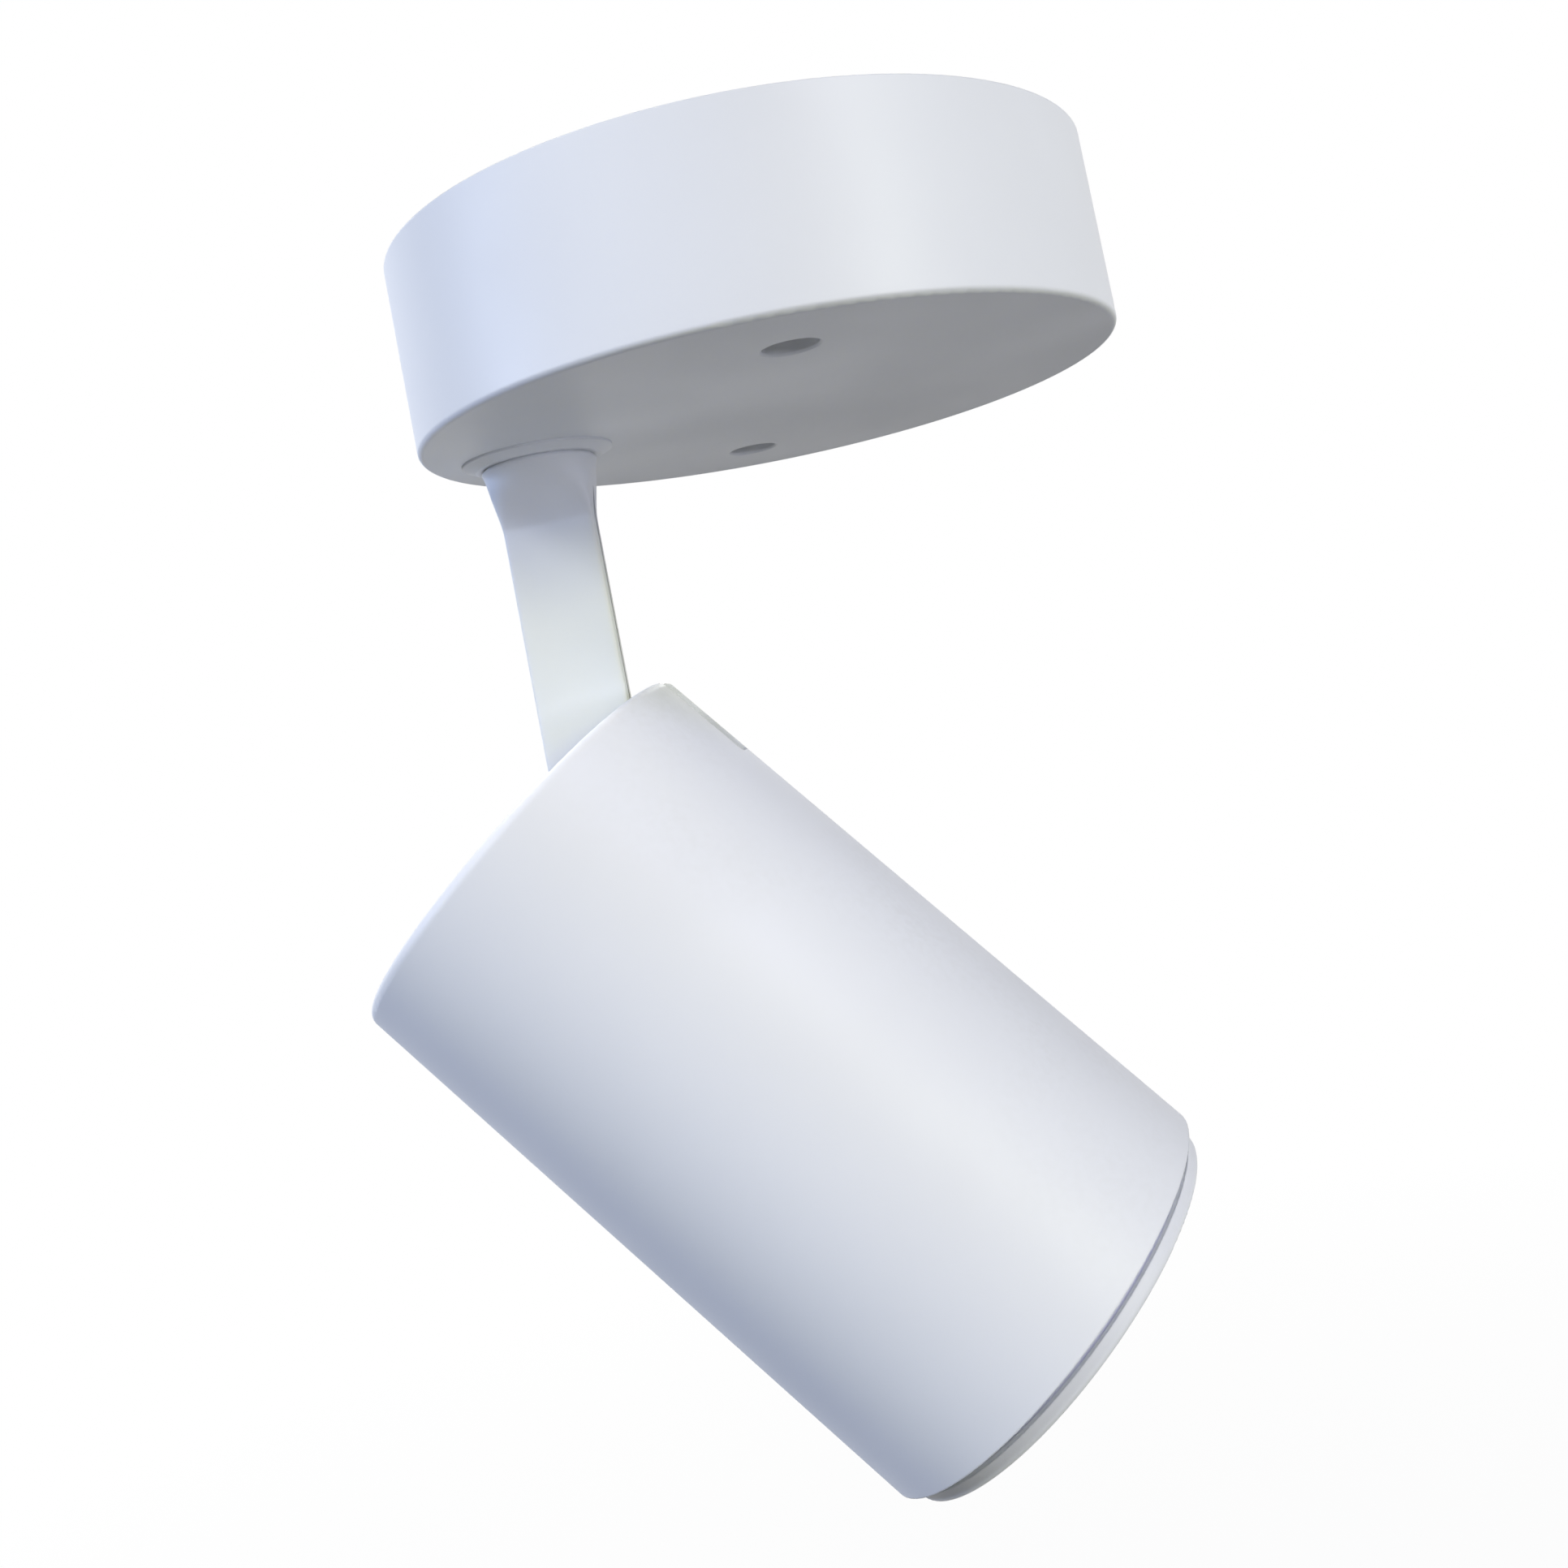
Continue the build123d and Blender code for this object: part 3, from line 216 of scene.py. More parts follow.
def make_shared_groups() -> None:
    """Builds the effects that several finishes share: grain, turning marks, worn edges and dust."""
    grain = shader_group(
        GRAIN,
        {"Vector": ("NodeSocketVector", 0), "Size": ("NodeSocketFloat", 0.001), "Cloud": ("NodeSocketFloat", 0.03)},
        {"Height": "NodeSocketFloat", "Cloud": "NodeSocketFloat"},
    )
    if grain:
        ends = grain.add("NodeGroupInput").outputs
        fine = grain.add(
            "ShaderNodeTexNoise", Vector=ends["Vector"], Scale=grain.math("DIVIDE", 1.0, ends["Size"]), Detail=3.0
        )
        wide = grain.add(
            "ShaderNodeTexNoise", Vector=ends["Vector"], Scale=grain.math("DIVIDE", 1.0, ends["Cloud"]), Detail=2.0
        )
        grain.add(
            "NodeGroupOutput",
            Height=fine.outputs[0],
            Cloud=grain.ramp(wide.outputs[0], 0.3, 0.7),
        )

    turning = shader_group(
        TURNING,
        {"Vector": ("NodeSocketVector", 0), "Pitch": ("NodeSocketFloat", 0.0004)},
        {"Height": "NodeSocketFloat"},
    )
    if turning:
        ends = turning.add("NodeGroupInput").outputs
        parts = turning.add("ShaderNodeSeparateXYZ", Vector=ends["Vector"]).outputs
        flat = turning.add("ShaderNodeCombineXYZ", X=parts[0], Y=parts[1])
        radius = turning.add("ShaderNodeVectorMath", {"operation": "LENGTH"}, Vector=flat.outputs[0])
        across = turning.add("ShaderNodeCombineXYZ", X=radius.outputs["Value"], Y=parts[2])
        rings = turning.add(
            "ShaderNodeTexNoise",
            {"noise_dimensions": "2D"},
            Vector=across.outputs[0],
            Scale=turning.math("DIVIDE", 1.0, ends["Pitch"]),
            Detail=1.5,
        )
        turning.add("NodeGroupOutput", Height=rings.outputs[0])

    wear = shader_group(
        WEAR,
        {"Vector": ("NodeSocketVector", 0), "Width": ("NodeSocketFloat", 0.0005), "Amount": ("NodeSocketFloat", 0.3)},
        {"Mask": "NodeSocketFloat"},
    )
    if wear:
        ends = wear.add("NodeGroupInput").outputs
        rounded = wear.add("ShaderNodeBevel", {"samples": 3}, Radius=ends["Width"])
        sharp = wear.add("ShaderNodeNewGeometry")
        along = wear.add("ShaderNodeVectorMath", {"operation": "DOT_PRODUCT"})
        wear.feed(along.inputs[0], rounded.outputs[0])
        wear.feed(along.inputs[1], sharp.outputs["Normal"])
        edge = wear.ramp(along.outputs["Value"], 0.995, 0.9)
        patchy = wear.add("ShaderNodeTexNoise", Vector=ends["Vector"], Scale=260.0, Detail=2.0)
        broken = wear.ramp(patchy.outputs[0], 0.45, 0.65)
        mask = wear.math("MULTIPLY", edge, broken)
        wear.add("NodeGroupOutput", Mask=wear.math("MULTIPLY", mask, ends["Amount"]))

    dust = shader_group(
        DUST,
        {"Vector": ("NodeSocketVector", 0), "Amount": ("NodeSocketFloat", 0.2)},
        {"Mask": "NodeSocketFloat"},
    )
    if dust:
        ends = dust.add("NodeGroupInput").outputs
        facing = dust.add("ShaderNodeTexCoord").outputs["Normal"]
        upward = dust.add("ShaderNodeSeparateXYZ", Vector=facing).outputs[2]
        lying = dust.ramp(upward, 0.2, 0.95)
        specks = dust.add("ShaderNodeTexNoise", Vector=ends["Vector"], Scale=900.0, Detail=3.0)
        drift = dust.add("ShaderNodeTexNoise", Vector=ends["Vector"], Scale=60.0, Detail=2.0)
        cover = dust.math("MULTIPLY", dust.ramp(specks.outputs[0], 0.4, 0.7), dust.ramp(drift.outputs[0], 0.35, 0.7))
        mask = dust.math("MULTIPLY", lying, cover)
        dust.add("NodeGroupOutput", Mask=dust.math("MULTIPLY", mask, ends["Amount"]))


# ---------------------------------------------------------------- finishes
@dataclass(frozen=True)
class Finish:
    """What every finish has: a name, a colour and a gloss, with one Principled shader."""

    name: str
    colour: Colour
    roughness: float = 0.5

    def material(self) -> bpy.types.Material:
        """Builds the material once and returns it."""
        found = bpy.data.materials.get(self.name)
        if found:
            return found
        material = bpy.data.materials.new(self.name)
        material.use_nodes = True
        material.node_tree.nodes.clear()
        material.diffuse_color = (*self.colour, 1.0)
        graph = ShaderGraph(material.node_tree)
        shader = graph.add("ShaderNodeBsdfPrincipled", Base_Color=self.colour, Roughness=self.roughness)
        graph.add("ShaderNodeOutputMaterial", Surface=shader.outputs[0])
        self.detail(graph, shader)
        return material

    def detail(self, graph: ShaderGraph, shader: bpy.types.Node) -> None:
        """Adds the finish's own pattern to the shader."""
        raise NotImplementedError


@dataclass(frozen=True)
class PowderCoat(Finish):
    """Baked powder paint: an even satin with a fine orange peel, faintly cloudy, a little dusty on top."""

    peel_size: float = 0.55 * MM
    peel_depth: float = 0.008 * MM
    cloud_size: float = 26 * MM
    cloud_tint: float = 0.975
    wear: float = 0.35
    dust: float = 0.25
    dust_colour: Colour = (0.62, 0.61, 0.58)
    primer: Colour = (0.74, 0.75, 0.77)
    edge_radius: float = 0.3 * MM
    sheen: float = 0.3

    def detail(self, graph: ShaderGraph, shader: bpy.types.Node) -> None:
        """Adds the peel, the clouding, pale worn edges and dust."""
        place = graph.coordinates()
        grain = use_group(graph, GRAIN, Vector=place, Size=self.peel_size, Cloud=self.cloud_size)
        darker = tuple(part * self.cloud_tint for part in self.colour)
        coat = graph.mix(grain.outputs["Cloud"], self.colour, darker)
        worn = use_group(graph, WEAR, Vector=place, Width=0.5 * MM, Amount=self.wear)
        coat = graph.mix(worn.outputs[0], coat, self.primer)
        dust = use_group(graph, DUST, Vector=place, Amount=self.dust)
        graph.feed(shader.inputs["Base Color"], graph.mix(dust.outputs[0], coat, self.dust_colour))
        gloss = graph.ramp(grain.outputs["Cloud"], 0.0, 1.0, self.roughness - 0.03, self.roughness + 0.04)
        matt = graph.math("MULTIPLY_ADD", dust.outputs[0], 0.4, gloss, clamp=True)
        graph.feed(shader.inputs["Roughness"], matt)
        edges = graph.add("ShaderNodeBevel", {"samples": 4}, Radius=self.edge_radius)
        bump = graph.add("ShaderNodeBump", Strength=1.0, Distance=self.peel_depth, Height=grain.outputs["Height"])
        graph.feed(bump.inputs["Normal"], edges.outputs[0])
        graph.feed(shader.inputs["Normal"], bump.outputs[0])
        shader.inputs["Specular IOR Level"].default_value = self.sheen


class MetalMarks(Enum):
    """How a metal surface was finished."""

    TURNED = "turned"
    ROLLED = "rolled"
    PLATED = "plated"
    POLISHED = "polished"


@dataclass(frozen=True)
class Metal(Finish):
    """Bare or plated metal with the marks of how it was made."""

    marks: MetalMarks = MetalMarks.PLATED
    place: Matrix | None = field(default=None, compare=False)
    mark_pitch: float = 0.35 * MM
    mark_depth: float = 0.004 * MM
    tarnish: float = 0.85

    def detail(self, graph: ShaderGraph, shader: bpy.types.Node) -> None:
        """Adds rings, rolling streaks or plating spangle, and a cloudy tarnish."""
        shader.inputs["Metallic"].default_value = 1.0
        place = graph.coordinates(self.place)
        cloud = use_group(graph, GRAIN, Vector=place, Size=self.mark_pitch, Cloud=9 * MM)
        height = cloud.outputs["Height"]
        if self.marks is MetalMarks.TURNED:
            height = use_group(graph, TURNING, Vector=place, Pitch=self.mark_pitch).outputs[0]
        elif self.marks is MetalMarks.ROLLED:
            streaks = graph.coordinates(self.place, scale=(0.04, 1.0, 1.0))
            height = graph.add("ShaderNodeTexNoise", Vector=streaks, Scale=1 / self.mark_pitch, Detail=3.0).outputs[0]
        dull = tuple(part * self.tarnish for part in self.colour)
        graph.feed(shader.inputs["Base Color"], graph.mix(cloud.outputs["Cloud"], self.colour, dull))
        spread = 0.03 if self.marks is MetalMarks.POLISHED else 0.1
        gloss = graph.ramp(height, 0.3, 0.7, max(0.03, self.roughness - spread), self.roughness + spread)
        graph.feed(shader.inputs["Roughness"], gloss)
        bump = graph.add("ShaderNodeBump", Strength=1.0, Distance=self.mark_depth, Height=height)
        graph.feed(shader.inputs["Normal"], bump.outputs[0])


@dataclass(frozen=True)
class Plastic(Finish):
    """Moulded plastic or rubber with a fine spark-eroded grain."""

    grain_size: float = 0.25 * MM
    grain_depth: float = 0.006 * MM
    mottle: float = 0.93
    dust: float = 0.15

    def detail(self, graph: ShaderGraph, shader: bpy.types.Node) -> None:
        """Adds the grain, a faint mottle and dust."""
        place = graph.coordinates()
        grain = use_group(graph, GRAIN, Vector=place, Size=self.grain_size, Cloud=6 * MM)
        darker = tuple(part * self.mottle for part in self.colour)
        body = graph.mix(grain.outputs["Cloud"], self.colour, darker)
        dust = use_group(graph, DUST, Vector=place, Amount=self.dust)
        graph.feed(shader.inputs["Base Color"], graph.mix(dust.outputs[0], body, (0.6, 0.59, 0.56)))
        gloss = graph.ramp(grain.outputs["Height"], 0.3, 0.7, self.roughness - 0.05, self.roughness + 0.07)
        graph.feed(shader.inputs["Roughness"], gloss)
        bump = graph.add("ShaderNodeBump", Strength=1.0, Distance=self.grain_depth, Height=grain.outputs["Height"])
        graph.feed(shader.inputs["Normal"], bump.outputs[0])


@dataclass(frozen=True)
class CircuitBoard(Finish):
    """Lacquered circuit board: copper tracks show through the solder mask as paler lines."""

    track_colour: Colour = (0.1, 0.4, 0.2)
    track_pitch: float = 2.4 * MM

    def detail(self, graph: ShaderGraph, shader: bpy.types.Node) -> None:
        """Adds the tracks and the lacquer's fine grain."""
        place = graph.coordinates()
        cells = graph.add(
            "ShaderNodeTexVoronoi",
            {"distance": "MANHATTAN", "feature": "F1"},
            Vector=place,
            Scale=1 / self.track_pitch,
        )
        track = graph.ramp(graph.math("PINGPONG", cells.outputs["Distance"], 0.16), 0.03, 0.05)
        graph.feed(shader.inputs["Base Color"], graph.mix(track, self.track_colour, self.colour))
        grain = use_group(graph, GRAIN, Vector=place, Size=0.3 * MM, Cloud=8 * MM)
        gloss = graph.ramp(grain.outputs["Height"], 0.3, 0.7, self.roughness - 0.05, self.roughness + 0.08)
        graph.feed(shader.inputs["Roughness"], gloss)
        bump = graph.add("ShaderNodeBump", Strength=1.0, Distance=0.03 * MM, Height=track)
        graph.feed(shader.inputs["Normal"], bump.outputs[0])
        shader.inputs["Coat Weight"].default_value = 0.4
        shader.inputs["Coat Roughness"].default_value = 0.15


@dataclass(frozen=True)
class Phosphor(Finish):
    """Yellow silicone over the light source's rows of small dies, which show as paler dots."""

    place: Matrix | None = field(default=None, compare=False)
    die_pitch: float = 1.25 * MM
    die_colour: Colour = (0.95, 0.84, 0.42)

    def detail(self, graph: ShaderGraph, shader: bpy.types.Node) -> None:
        """Adds the dots and a soft uneven surface."""
        place = graph.coordinates(self.place)
        cells = graph.add(
            "ShaderNodeTexVoronoi", {"feature": "F1"}, Vector=place, Scale=1 / self.die_pitch, Randomness=0.0
        )
        dot = graph.ramp(cells.outputs["Distance"], 0.22, 0.4, 1.0, 0.0)
        graph.feed(shader.inputs["Base Color"], graph.mix(dot, self.colour, self.die_colour))
        grain = use_group(graph, GRAIN, Vector=place, Size=0.8 * MM, Cloud=5 * MM)
        gloss = graph.ramp(grain.outputs["Cloud"], 0.0, 1.0, self.roughness, self.roughness + 0.1)
        graph.feed(shader.inputs["Roughness"], gloss)
        bump = graph.add("ShaderNodeBump", Strength=1.0, Distance=0.02 * MM, Height=grain.outputs["Height"])
        graph.feed(shader.inputs["Normal"], bump.outputs[0])


@dataclass(frozen=True)
class ClearGlass(Finish):
    """Clear tempered glass with faint ripples and a few specks."""

    def detail(self, graph: ShaderGraph, shader: bpy.types.Node) -> None:
        """Makes the shader transmit light and adds the ripple and specks."""
        shader.inputs["Transmission Weight"].default_value = 1.0
        shader.inputs["IOR"].default_value = 1.5
        place = graph.coordinates()
        grain = use_group(graph, GRAIN, Vector=place, Size=6 * MM, Cloud=0.5 * MM)
        specks = graph.ramp(grain.outputs["Cloud"], 0.9, 1.0, self.roughness, self.roughness + 0.1)
        graph.feed(shader.inputs["Roughness"], specks)
        bump = graph.add("ShaderNodeBump", Strength=1.0, Distance=0.01 * MM, Height=grain.outputs["Height"])
        graph.feed(shader.inputs["Normal"], bump.outputs[0])


# ---------------------------------------------------------------- places
@dataclass(frozen=True)
class HeadPlace:
    """Where the tilted head is: x towards its slotted side, z along its axis to the front, from its rear face."""

    tilt: float = math.radians(39.1)
    pivot: Vector = Vector((-34.7, 0, -82.5)) * MM
    pivot_depth: float = 8.5 * MM
    pivot_rise: float = 9.2 * MM

    def matrix(self) -> Matrix:
        """The head's axes and rear centre as a matrix in the row's frame."""
        rise = Vector((math.cos(self.tilt), 0, math.sin(self.tilt)))
        forward = Vector((math.sin(self.tilt), 0, -math.cos(self.tilt)))
        rear = self.pivot - forward * self.pivot_depth - rise * self.pivot_rise
        turned = Matrix((rise, forward.cross(rise), forward)).transposed()
        return Matrix.Translation(rear) @ turned.to_4x4()


HEAD = HeadPlace().matrix()
BACKWARD = HEAD @ Matrix.Rotation(math.pi, 4, "X")
UP = Matrix.Identity(4)
DOWN = Matrix.Rotation(math.pi, 4, "X")
ASIDE = Matrix.Rotation(-math.pi / 2, 4, "X")

FINISHES: dict[str, Finish] = {
    "white_paint": PowderCoat("white_powder_coat", (0.86, 0.875, 0.9), 0.48),
    "zinc_steel": Metal("zinc_plated_steel", (0.66, 0.67, 0.68), 0.36),
    "bright_screw": Metal("nickel_plated_screw", (0.74, 0.73, 0.71), 0.24, mark_pitch=0.2 * MM),
    "brass_part": Metal("turned_brass", (0.78, 0.6, 0.3), 0.3),
    "sink_aluminium": Metal("turned_aluminium", (0.77, 0.78, 0.79), 0.38, marks=MetalMarks.TURNED, place=HEAD),
    "polished_aluminium": Metal(
        "bright_aluminium", (0.9, 0.9, 0.91), 0.12, marks=MetalMarks.POLISHED, place=HEAD, mark_depth=0.001 * MM
    ),
    "black_rubber": Plastic("black_rubber", (0.035, 0.035, 0.04), 0.62),
    "foam_tape": Plastic("grey_foam_tape", (0.16, 0.16, 0.17), 0.85, grain_size=0.7 * MM, grain_depth=0.05 * MM),
    "natural_nylon": Plastic("natural_nylon", (0.82, 0.81, 0.75), 0.42),
    "driver_plastic": Plastic("driver_case_plastic", (0.8, 0.81, 0.82), 0.5),
    "winding": Plastic("yellow_winding_tape", (0.72, 0.52, 0.1), 0.35),
    "capacitor_sleeve": Plastic("capacitor_sleeve", (0.03, 0.035, 0.05), 0.28),
    "plug_white": Plastic("plug_block_plastic", (0.84, 0.84, 0.8), 0.4),
    "lead_jacket": Plastic("silicone_lead_jacket", (0.78, 0.78, 0.76), 0.5),
    "thermal_grey": Plastic("thermal_pad_grey", (0.5, 0.53, 0.57), 0.7),
    "holder_white": Plastic("reflector_holder_plastic", (0.86, 0.86, 0.84), 0.45),
    "silicone": Plastic("clear_silicone_gasket", (0.8, 0.82, 0.82), 0.4),
    "board_green": CircuitBoard("driver_board_lacquer", (0.03, 0.22, 0.1), 0.35),
    "light_board": CircuitBoard("light_board_lacquer", (0.85, 0.85, 0.83), 0.3, track_colour=(0.7, 0.7, 0.68)),
    "phosphor": Phosphor("light_source_phosphor", (0.9, 0.68, 0.12), 0.25, place=HEAD),
    "clear_glass": ClearGlass("clear_glass", (0.96, 0.985, 0.98), 0.02),
    "ferrite": Plastic("sintered_ferrite", (0.06, 0.06, 0.065), 0.45, grain_size=0.15 * MM, grain_depth=0.01 * MM),
    "chip_body": Plastic("chip_epoxy", (0.045, 0.045, 0.05), 0.4, grain_size=0.1 * MM),
}

# Finishes that have no slot of their own share the slot of the nearest one
SLOT_OF = {"ferrite": "capacitor_sleeve", "chip_body": "capacitor_sleeve"}


# ---------------------------------------------------------------- geometry
class GeometryTree(NodeGraph):
    """A Geometry Nodes tree with named inputs, baked to a plain mesh once its values are set."""

    def __init__(self, name: str, inputs: dict[str, str]) -> None:
        """Starts a tree that takes and gives a geometry.

        Args:
            name: The tree's name.
            inputs: Each further input's socket type, by name.
        """
        tree = bpy.data.node_groups.new(name, "GeometryNodeTree")
        super().__init__(tree)
        tree.interface.new_socket("Geometry", in_out="INPUT", socket_type="NodeSocketGeometry")
        tree.interface.new_socket("Geometry", in_out="OUTPUT", socket_type="NodeSocketGeometry")
        self.identifiers = {
            label: tree.interface.new_socket(label, in_out="INPUT", socket_type=kind).identifier
            for label, kind in inputs.items()
        }
        self.inputs = self.add("NodeGroupInput").outputs

    def end(self, geometry: bpy.types.NodeSocket, material: bpy.types.Material) -> None:
        """Makes the instances real, sets their material and closes the tree."""
        real = self.add("GeometryNodeRealizeInstances", Geometry=geometry)
        dressed = self.add("GeometryNodeSetMaterial", Geometry=real.outputs[0], Material=material)
        self.add("NodeGroupOutput", Geometry=dressed.outputs[0])

    def bake(self, name: str, base: bpy.types.Mesh, place: Matrix, **values) -> bpy.types.Object:
        """Runs the tree on a base mesh and keeps the result as a plain mesh.

        Args:
            name: Name of the new piece.
            base: Mesh that the tree starts from, in the place's axes.
            place: Where the result belongs in the row's frame.
            values: The inputs' values, by name with _ for a space.

        Returns:
            The new piece, without a modifier.
        """
        holder = bpy.data.objects.new(name, base)
        bpy.context.scene.collection.objects.link(holder)
        modifier = holder.modifiers.new(name, "NODES")
        modifier.node_group = self.tree
        for label, value in values.items():
            modifier[self.identifiers[label.replace("_", " ")]] = value
        evaluated = holder.evaluated_get(bpy.context.evaluated_depsgraph_get())
        baked = bpy.data.meshes.new_from_object(evaluated)
        holder.modifiers.clear()
        holder.data = baked
        baked.transform(place)
        return holder


def turned(profile: Sequence[tuple[float, float]], segments: int, closed: bool = False) -> bmesh.types.BMesh:
    """Turns a profile round the Z axis.

    Args:
        profile: Radius and height of each corner. A radius of 0 makes a pole.
        segments: Steps round the axis.
        closed: Whether the last corner joins the first, as on a ring.

    Returns:
        The turned shape, to be changed further or made a mesh.
    """
    shape = bmesh.new()
    turns = [2 * math.pi * step / segments for step in range(segments)]
    rings = [
        [shape.verts.new((radius * math.cos(turn), radius * math.sin(turn), height)) for turn in turns]
        if radius > 0
        else [shape.verts.new((0, 0, height))]
        for radius, height in profile
    ]
    follow = rings[1:] + rings[:1] if closed else rings[1:]
    for lower, upper in zip(rings, follow):
        for step in range(segments):
            after = (step + 1) % segments
            around = ((lower, step), (lower, after), (upper, after), (upper, step))
            corners = [ring[turn % len(ring)] for ring, turn in around]
            shape.faces.new(list(dict.fromkeys(corners)))
    bmesh.ops.recalc_face_normals(shape, faces=shape.faces)
    return shape


def as_mesh(shape: bmesh.types.BMesh, name: str, smooth: bool = True) -> bpy.types.Mesh:
    """Makes a plain mesh of a shape and frees the shape."""
    mesh = bpy.data.meshes.new(name)
    for face in shape.faces:
        face.smooth = smooth
    shape.to_mesh(mesh)
    shape.free()
    return mesh


def soften(mesh: bpy.types.Mesh, angle: float = math.radians(35)) -> None:
    """Shades a mesh smooth, but keeps its edges sharp past an angle."""
    mesh.set_sharp_from_angle(angle=angle)


def islands(node: bpy.types.Object, place: Matrix) -> list[tuple[Vector, Vector]]:
    """Finds the separate solids of a CAD node.

    Args:
        node: The CAD node.
        place: Axes in which the solids are measured.

    Returns:
        The lowest and highest corner of each solid along those axes.
    """
    shape = bmesh.new()
    shape.from_mesh(node.data)
    bmesh.ops.remove_doubles(shape, verts=shape.verts, dist=1e-6)
    shape.transform(place.inverted() @ node.matrix_world)
    left, boxes = set(shape.verts), []
    while left:
        group, edge = set(), [left.pop()]
        while edge:
            corner = edge.pop()
            group.add(corner)
            for link in corner.link_edges:
                other = link.other_vert(corner)
                if other in left:
                    left.discard(other)
                    edge.append(other)
        spans = [(min(v.co[axis] for v in group), max(v.co[axis] for v in group)) for axis in range(3)]
        boxes.append((Vector([low for low, _ in spans]), Vector([high for _, high in spans])))
    shape.free()
    return sorted(boxes, key=lambda box: tuple(round(part, 5) for part in box[0]))


def seat(piece: bpy.types.Object, body: str, slot: str, *nodes: str) -> None:
    """Lets a finished piece ride on its body and stand for its CAD nodes."""
    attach(piece, body)
    if nodes:
        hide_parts(*nodes)
    LOG.info("%s: %d faces on %s", piece.name, len(piece.data.polygons), body)


# ---------------------------------------------------------------- screws
class Drive(Enum):
    """What turns a screw."""

    CROSS = "cross"
    SLOT = "slot"
    HEXAGON = "hexagon"


@dataclass(frozen=True)
class ScrewSet:
    """Equal screws of one CAD node, with rolled threads and a pressed recess, one at each solid's place.

    The place's Z axis points out of the heads.
    """

    name: str
    node: str
    body: str
    slot: str
    place: Matrix
    head_h: float
    shank_d: float
    pitch: float
    drive: Drive = Drive.CROSS
    drive_l: float = 3.3 * MM
    drive_w: float = 0.8 * MM
    drive_depth: float = 1.2 * MM
    drive_taper: float = 0.6
    crown: float = 0.35
    headless: bool = False
    thread_depth: float = 0.3
    segments: int = 28
    seed: int = 4

    def drive_outline(self) -> list[Vector]:
        """Corners of the recess at the head's top."""
        if self.drive is Drive.HEXAGON:
            return [Vector((math.cos(turn), math.sin(turn), 0)) * self.drive_l / 2 for turn in sixths()]
        long, thin = self.drive_l / 2, self.drive_w / 2
        if self.drive is Drive.SLOT:
            return [Vector((x, y, 0)) for x, y in ((long, thin), (-long, thin), (-long, -thin), (long, -thin))]
        corners = [(long, -thin), (long, thin), (thin, thin)]
        quarters = [Matrix.Rotation(math.pi / 2 * quarter, 3, "Z") for quarter in range(4)]
        return [quarter @ Vector((x, y, 0)) for quarter in quarters for x, y in corners]

    def template(self, head_r: float, length: float) -> bpy.types.Mesh:
        """Builds one screw with its head's seat at the origin.

        Args:
            head_r: The head's radius.
            length: From the seat to the tip.

        Returns:
            The screw's closed mesh.
        """
        shank_r = self.shank_d / 2
        rows = max(4, round(length / self.pitch * 6))
        tip = self.pitch
        profile = [(0.0, -length), (shank_r - tip / 2, -length)]
        profile += [(shank_r, -length + tip / 2 + (length - tip) * row / rows) for row in range(rows + 1)]
        flat_r = self.drive_l / 2 * 1.12
        if not self.headless:
            rise = self.crown * self.head_h
            profile += [(shank_r, 0.0), (head_r * 0.97, 0.0), (head_r, head_r * 0.03), (head_r, self.head_h - rise)]
            for step in range(1, 6):
                turn = math.pi / 2 * step / 5
                profile.append(
                    (flat_r + (head_r - flat_r) * math.cos(turn), self.head_h - rise + rise * math.sin(turn))
                )
        else:
            profile += [(flat_r, self.head_h)]
        shape = turned(profile, self.segments)
        self.cut_thread(shape, shank_r, -length + tip / 2, -self.pitch)
        top = max(vertex.co.z for vertex in shape.verts)
        rim = [edge for edge in shape.edges if edge.is_boundary]
        upper = [shape.verts.new(corner + Vector((0, 0, top))) for corner in self.drive_outline()]
        lower = [
            shape.verts.new(corner * self.drive_taper + Vector((0, 0, top - self.drive_depth)))
            for corner in self.drive_outline()
        ]
        around = list(zip(upper, upper[1:] + upper[:1]))
        recess = [shape.edges.new(pair) for pair in around]
        bmesh.ops.triangle_fill(shape, edges=rim + recess, use_beauty=True)
        for (first, second), (third, fourth) in zip(around, zip(lower, lower[1:] + lower[:1])):
            shape.faces.new((first, second, fourth, third))
        shape.faces.new(lower)
        bmesh.ops.recalc_face_normals(shape, faces=shape.faces)
        return as_mesh(shape, self.name + "_one")

    def cut_thread(self, shape: bmesh.types.BMesh, radius: float, low: float, high: float) -> None:
        """Draws the shank's surface in along a helix between two heights."""
        for vertex in shape.verts:
            if low < vertex.co.z < high and abs(vertex.co.xy.length - radius) < radius * 0.02:
                turn = math.atan2(vertex.co.y, vertex.co.x) / (2 * math.pi)
                wave = abs(2 * ((vertex.co.z / self.pitch - turn) % 1.0) - 1)
                keep = 1 - self.thread_depth * self.pitch / radius * wave
                vertex.co.x *= keep
                vertex.co.y *= keep

    def tree(self) -> GeometryTree:
        """The tree that puts a screw on every point, each turned its own way."""
        tree = GeometryTree(
            self.name + "_places", {"Screw": "NodeSocketObject", "Turn": "NodeSocketFloat", "Seed": "NodeSocketInt"}
        )
        screw = tree.add("GeometryNodeObjectInfo", Object=tree.inputs["Screw"])
        chance = tree.add("FunctionNodeRandomValue", {"data_type": "FLOAT"}, Seed=tree.inputs["Seed"])
        tree.feed(chance.inputs[3], tree.inputs["Turn"])
        turn = tree.add("ShaderNodeCombineXYZ", Z=chance.outputs[1])
        placed = tree.add(
            "GeometryNodeInstanceOnPoints",
            Points=tree.inputs["Geometry"],
            Instance=screw.outputs["Geometry"],
            Rotation=turn.outputs[0],
        )
        tree.end(placed.outputs[0], FINISHES[self.slot].material())
        return tree

